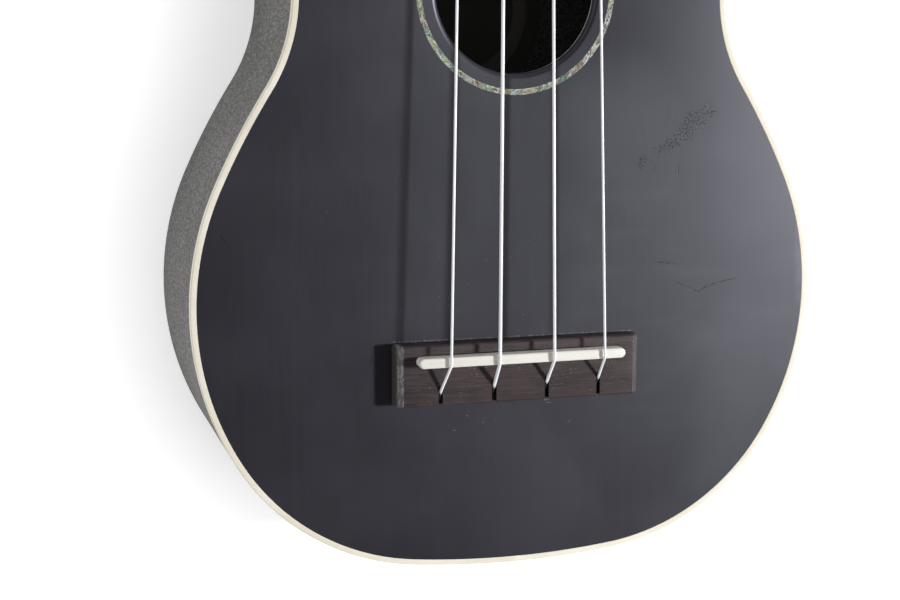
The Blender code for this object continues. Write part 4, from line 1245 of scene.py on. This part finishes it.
routes = {
    "bridgeBack": 46.7,
    "bridgeHigh": 5.2,
    "knotZ": 3.7,
    "knotInset": 0.3,
    "knotRadius": 0.9,
    "saddleBack": 0.7,
    "saddleZ": 9.5,
    "nutZ": 4.6,
    "nutThick": 4.0,
    "nutInset": 0.4,
    "turns": 2.5,
    "pitch": 1.4,
    "firstTurn": 1.5,
    "tail": 1.6,
    "seat": 0.3,
    "flange": 1.2,
    "loopPoints": 48,
    "bend": 1.0,
    "clear": 0.1,
    "ease": 1.3,
    "fillets": (1.2, 2.0, 2.0, 4.0),
    "knot": [(0.1, 0.7), (0.22, 1.0), (0.38, 1.0), (0.5, 0.7)],  # distance, and share of its radius
}


def fillet(corners, radii, steps=10):
    route = [corners[0]]
    for before, at, after, radius in zip(corners, corners[1:], corners[2:], radii):
        into, out = (at - before).normalized(), (after - at).normalized()
        half = into.angle(out) / 2
        begin = at - into * radius * math.tan(half)
        middle = at + (out - into).normalized() * radius / math.cos(half)
        turn = into.cross(out).normalized()
        for k in range(steps + 1):
            route.append(middle + Matrix.Rotation(2 * half * k / steps, 3, turn) @ (begin - middle))
    return [*route, corners[-1]]


def winding(name, leaving):
    thick = strings[name][0]
    side, x, y = tuners[name]
    centre = Vector((side * x, y, 0))
    radius = post["waist"] + routes["seat"] + thick / 2
    toward = leaving - centre
    start = math.atan2(toward.y, toward.x) - side * math.acos(radius / toward.xy.length)
    across = 0.0 if side > 0 else math.pi
    start = across + math.pi + (start - across) % (2 * math.pi) - math.pi
    sweep = 2 * math.pi * routes["turns"] + side * (start - across - math.pi)
    sweep -= math.asin(routes["bend"] / radius)
    steps = round(sweep / (2 * math.pi) * routes["loopPoints"])
    low = neck["face"] + routes["flange"] + routes["firstTurn"]
    high = neck["face"] + post["hole"]
    flat = 2 * math.pi * (routes["turns"] - 0.5)
    last = low + routes["pitch"] * flat / (2 * math.pi)
    coil = []
    for i in range(steps + 1):
        turned = sweep * i / steps
        a = start - side * turned
        z = low + routes["pitch"] * min(turned, flat) / (2 * math.pi)
        z += (high - last) * max(0.0, turned - flat) / (sweep - flat)
        coil.append(centre + polar(radius, a, z))
    return coil + intoHole(coil, centre + Vector((0, 0, high)), Vector((-side, 0, 0)))


def intoHole(coil, middle, inwards):
    # one smooth bend leads from the last turn into the post's hole, and the end sticks out behind
    mouth = middle - inwards * (post["waist"] + routes["clear"])
    heading = (coil[-1] - coil[-2]).normalized()
    hull = (coil[-1], coil[-1] + heading * routes["ease"], mouth - inwards * routes["ease"], mouth)
    bend = []
    for k in range(1, 9):
        t = k / 8
        weights = ((1 - t) ** 3, 3 * t * (1 - t) ** 2, 3 * t * t * (1 - t), t**3)
        bend.append(sum((w * p for w, p in zip(weights, hull)), Vector()))
    return [*bend, mouth + inwards * (2 * post["waist"] + routes["tail"])]


def makeString(name):
    thick, slotX, leaveY, saddleX, nutX = strings[name]
    headIn = topFrame.inverted() @ headFrame
    overNut = Vector((nutX, neck["nutY"] + routes["nutThick"] - routes["nutInset"], routes["nutZ"]))
    coil = [headIn @ point for point in winding(name, headIn.inverted() @ overNut)]
    crestY = saddle["y"] - routes["saddleBack"]
    slope = (crestY - leaveY) / (routes["saddleZ"] - routes["bridgeHigh"])
    dip = (routes["bridgeHigh"] - routes["knotZ"]) * slope
    corners = [
        Vector((slotX, routes["bridgeBack"] + routes["knotInset"], routes["knotZ"])),
        Vector((slotX, leaveY - dip, routes["knotZ"])),
        Vector((slotX, leaveY, routes["bridgeHigh"])),
        Vector((saddleX, crestY, routes["saddleZ"])),
        overNut,
        coil[0],
    ]
    route = fillet(corners, routes["fillets"])
    knot = [route[0] + Vector((0, step, 0)) for step, _ in routes["knot"]]
    points = [topFrame @ point for point in [route[0], *knot, *route[1:], *coil[1:]]]
    curve = bpy.data.curves.new(f"string{name.upper()}", "CURVE")
    curve.dimensions = "3D"
    curve.bevel_depth = thick / 2 * mm
    curve.bevel_resolution = 4
    curve.use_fill_caps = True
    spline = curve.splines.new("POLY")
    spline.points.add(len(points) - 1)
    for target, point in zip(spline.points, points):
        target.co = (*point, 1)
    for target, (_, share) in zip(spline.points[1:], routes["knot"]):
        target.radius = routes["knotRadius"] / (thick / 2) * share
    curve.materials.append(paints["nylon"])
    piece = addObject(f"string{name.upper()}", curve)
    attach(piece, "instrument")
    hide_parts(f"string_{name}")


for name in strings:
    makeString(name)
print("strings made")


# Floor, light and camera

# sizes are in metres here
floor = {"size": 6.0, "lift": 0.84, "near": 0.5, "far": 1.6, "reach": 0.045, "contact": 0.58}


def makeFloor():
    paint = Paint("whiteTable")
    cloud = paint.noise(4, 2, 0.5)
    base = paint.mix(cloud, (0.80, 0.80, 0.80), (0.82, 0.82, 0.82))
    lit = paint.add("BsdfDiffuse", {}, {"Color": base})
    # the lamps light only the middle of the table, so its own white grows towards its edge
    reach = paint.vector("LENGTH", paint.place, out="Value")
    lift = reach.between(floor["near"], floor["far"], floor["lift"], 1.0)
    # and its glow is darkened close to what stands on it, as a painted contact shadow
    free = paint.add("AmbientOcclusion", {"samples": 6}, {"Distance": floor["reach"]}, out="AO")
    lift = lift * free.between(0.5, 0.92, floor["contact"], 1.0)
    glow = paint.add("Emission", {}, {"Color": white, "Strength": (paint.seen() + paint.mirrored()) * lift})
    both = paint.add("AddShader", {}, {0: lit, 1: glow})
    paint.add("OutputMaterial", {}, {"Surface": both})
    bm = bmesh.new()
    bmesh.ops.create_grid(bm, x_segments=1, y_segments=1, size=floor["size"] / 2)
    mesh = bpy.data.meshes.new("table")
    bm.to_mesh(mesh)
    bm.free()
    mesh.materials.append(paint.owner)
    addObject("table", mesh)


studio = {"ceiling": 0.26, "mirrored": 0.10, "bandLow": 0.22, "bandHigh": 0.45}


def makeWorld():
    # a white room near the ground under a dim ceiling, and white all over to the eye
    world = bpy.data.worlds.new("studio")
    bpy.context.scene.world = world
    paint = Paint("studio", world)
    band = paint.axis("Z").fades(studio["bandLow"], studio["bandHigh"])
    bright = (paint.seen() + band).between(0.0, 1.0)
    ceiling = studio["ceiling"] - paint.mirrored() * (studio["ceiling"] - studio["mirrored"])
    back = paint.add("Background", {}, {"Color": white, "Strength": ceiling + (1 - ceiling) * bright})
    paint.add("OutputWorld", {}, {"Surface": back})


aim = (0, 0, 0.05)  # the place in metres that the lamps look at
lamps = {
    "key": {"azimuth": 0.0, "elevation": 40.0, "distance": 1.2, "size": 0.15, "power": 16.8},
    "fill": {"azimuth": 176.0, "elevation": 22.0, "distance": 1.6, "size": 0.8, "power": 4.0},
}


def makeLamp(name, azimuth, elevation, distance, size, power):
    # azimuth is counted from +X towards +Y
    a, e = azimuth * deg, elevation * deg
    towards = polar(math.cos(e), a, math.sin(e))
    light = bpy.data.lights.new(name, "AREA")
    light.shape = "DISK"
    light.size = size
    light.energy = power
    lamp = addObject(name, light)
    lamp.location = Vector(aim) + towards * distance
    lamp.rotation_mode = "QUATERNION"
    lamp.rotation_quaternion = towards.to_track_quat("Z", "Y")


photo = {"place": (-140.70, 147.92, 422.25), "turn": (-9.518, -16.179, 0.026), "lens": 66.9}


def makeCamera():
    data = bpy.data.cameras.new("camera")
    data.sensor_width = 36
    data.lens = photo["lens"]
    data.clip_start, data.clip_end = 0.01, 20
    camera = addObject("camera", data)
    turn = Euler([angle * deg for angle in photo["turn"]]).to_matrix()
    place = Matrix.Translation(topFrame @ Vector(photo["place"]))
    camera.matrix_world = place @ (tilt.to_3x3() @ turn).to_4x4()
    bpy.context.scene.camera = camera


makeFloor()
makeWorld()
for name, settings in lamps.items():
    makeLamp(name, **settings)
makeCamera()
bpy.context.scene.view_settings.view_transform = "Standard"
print("studio made")
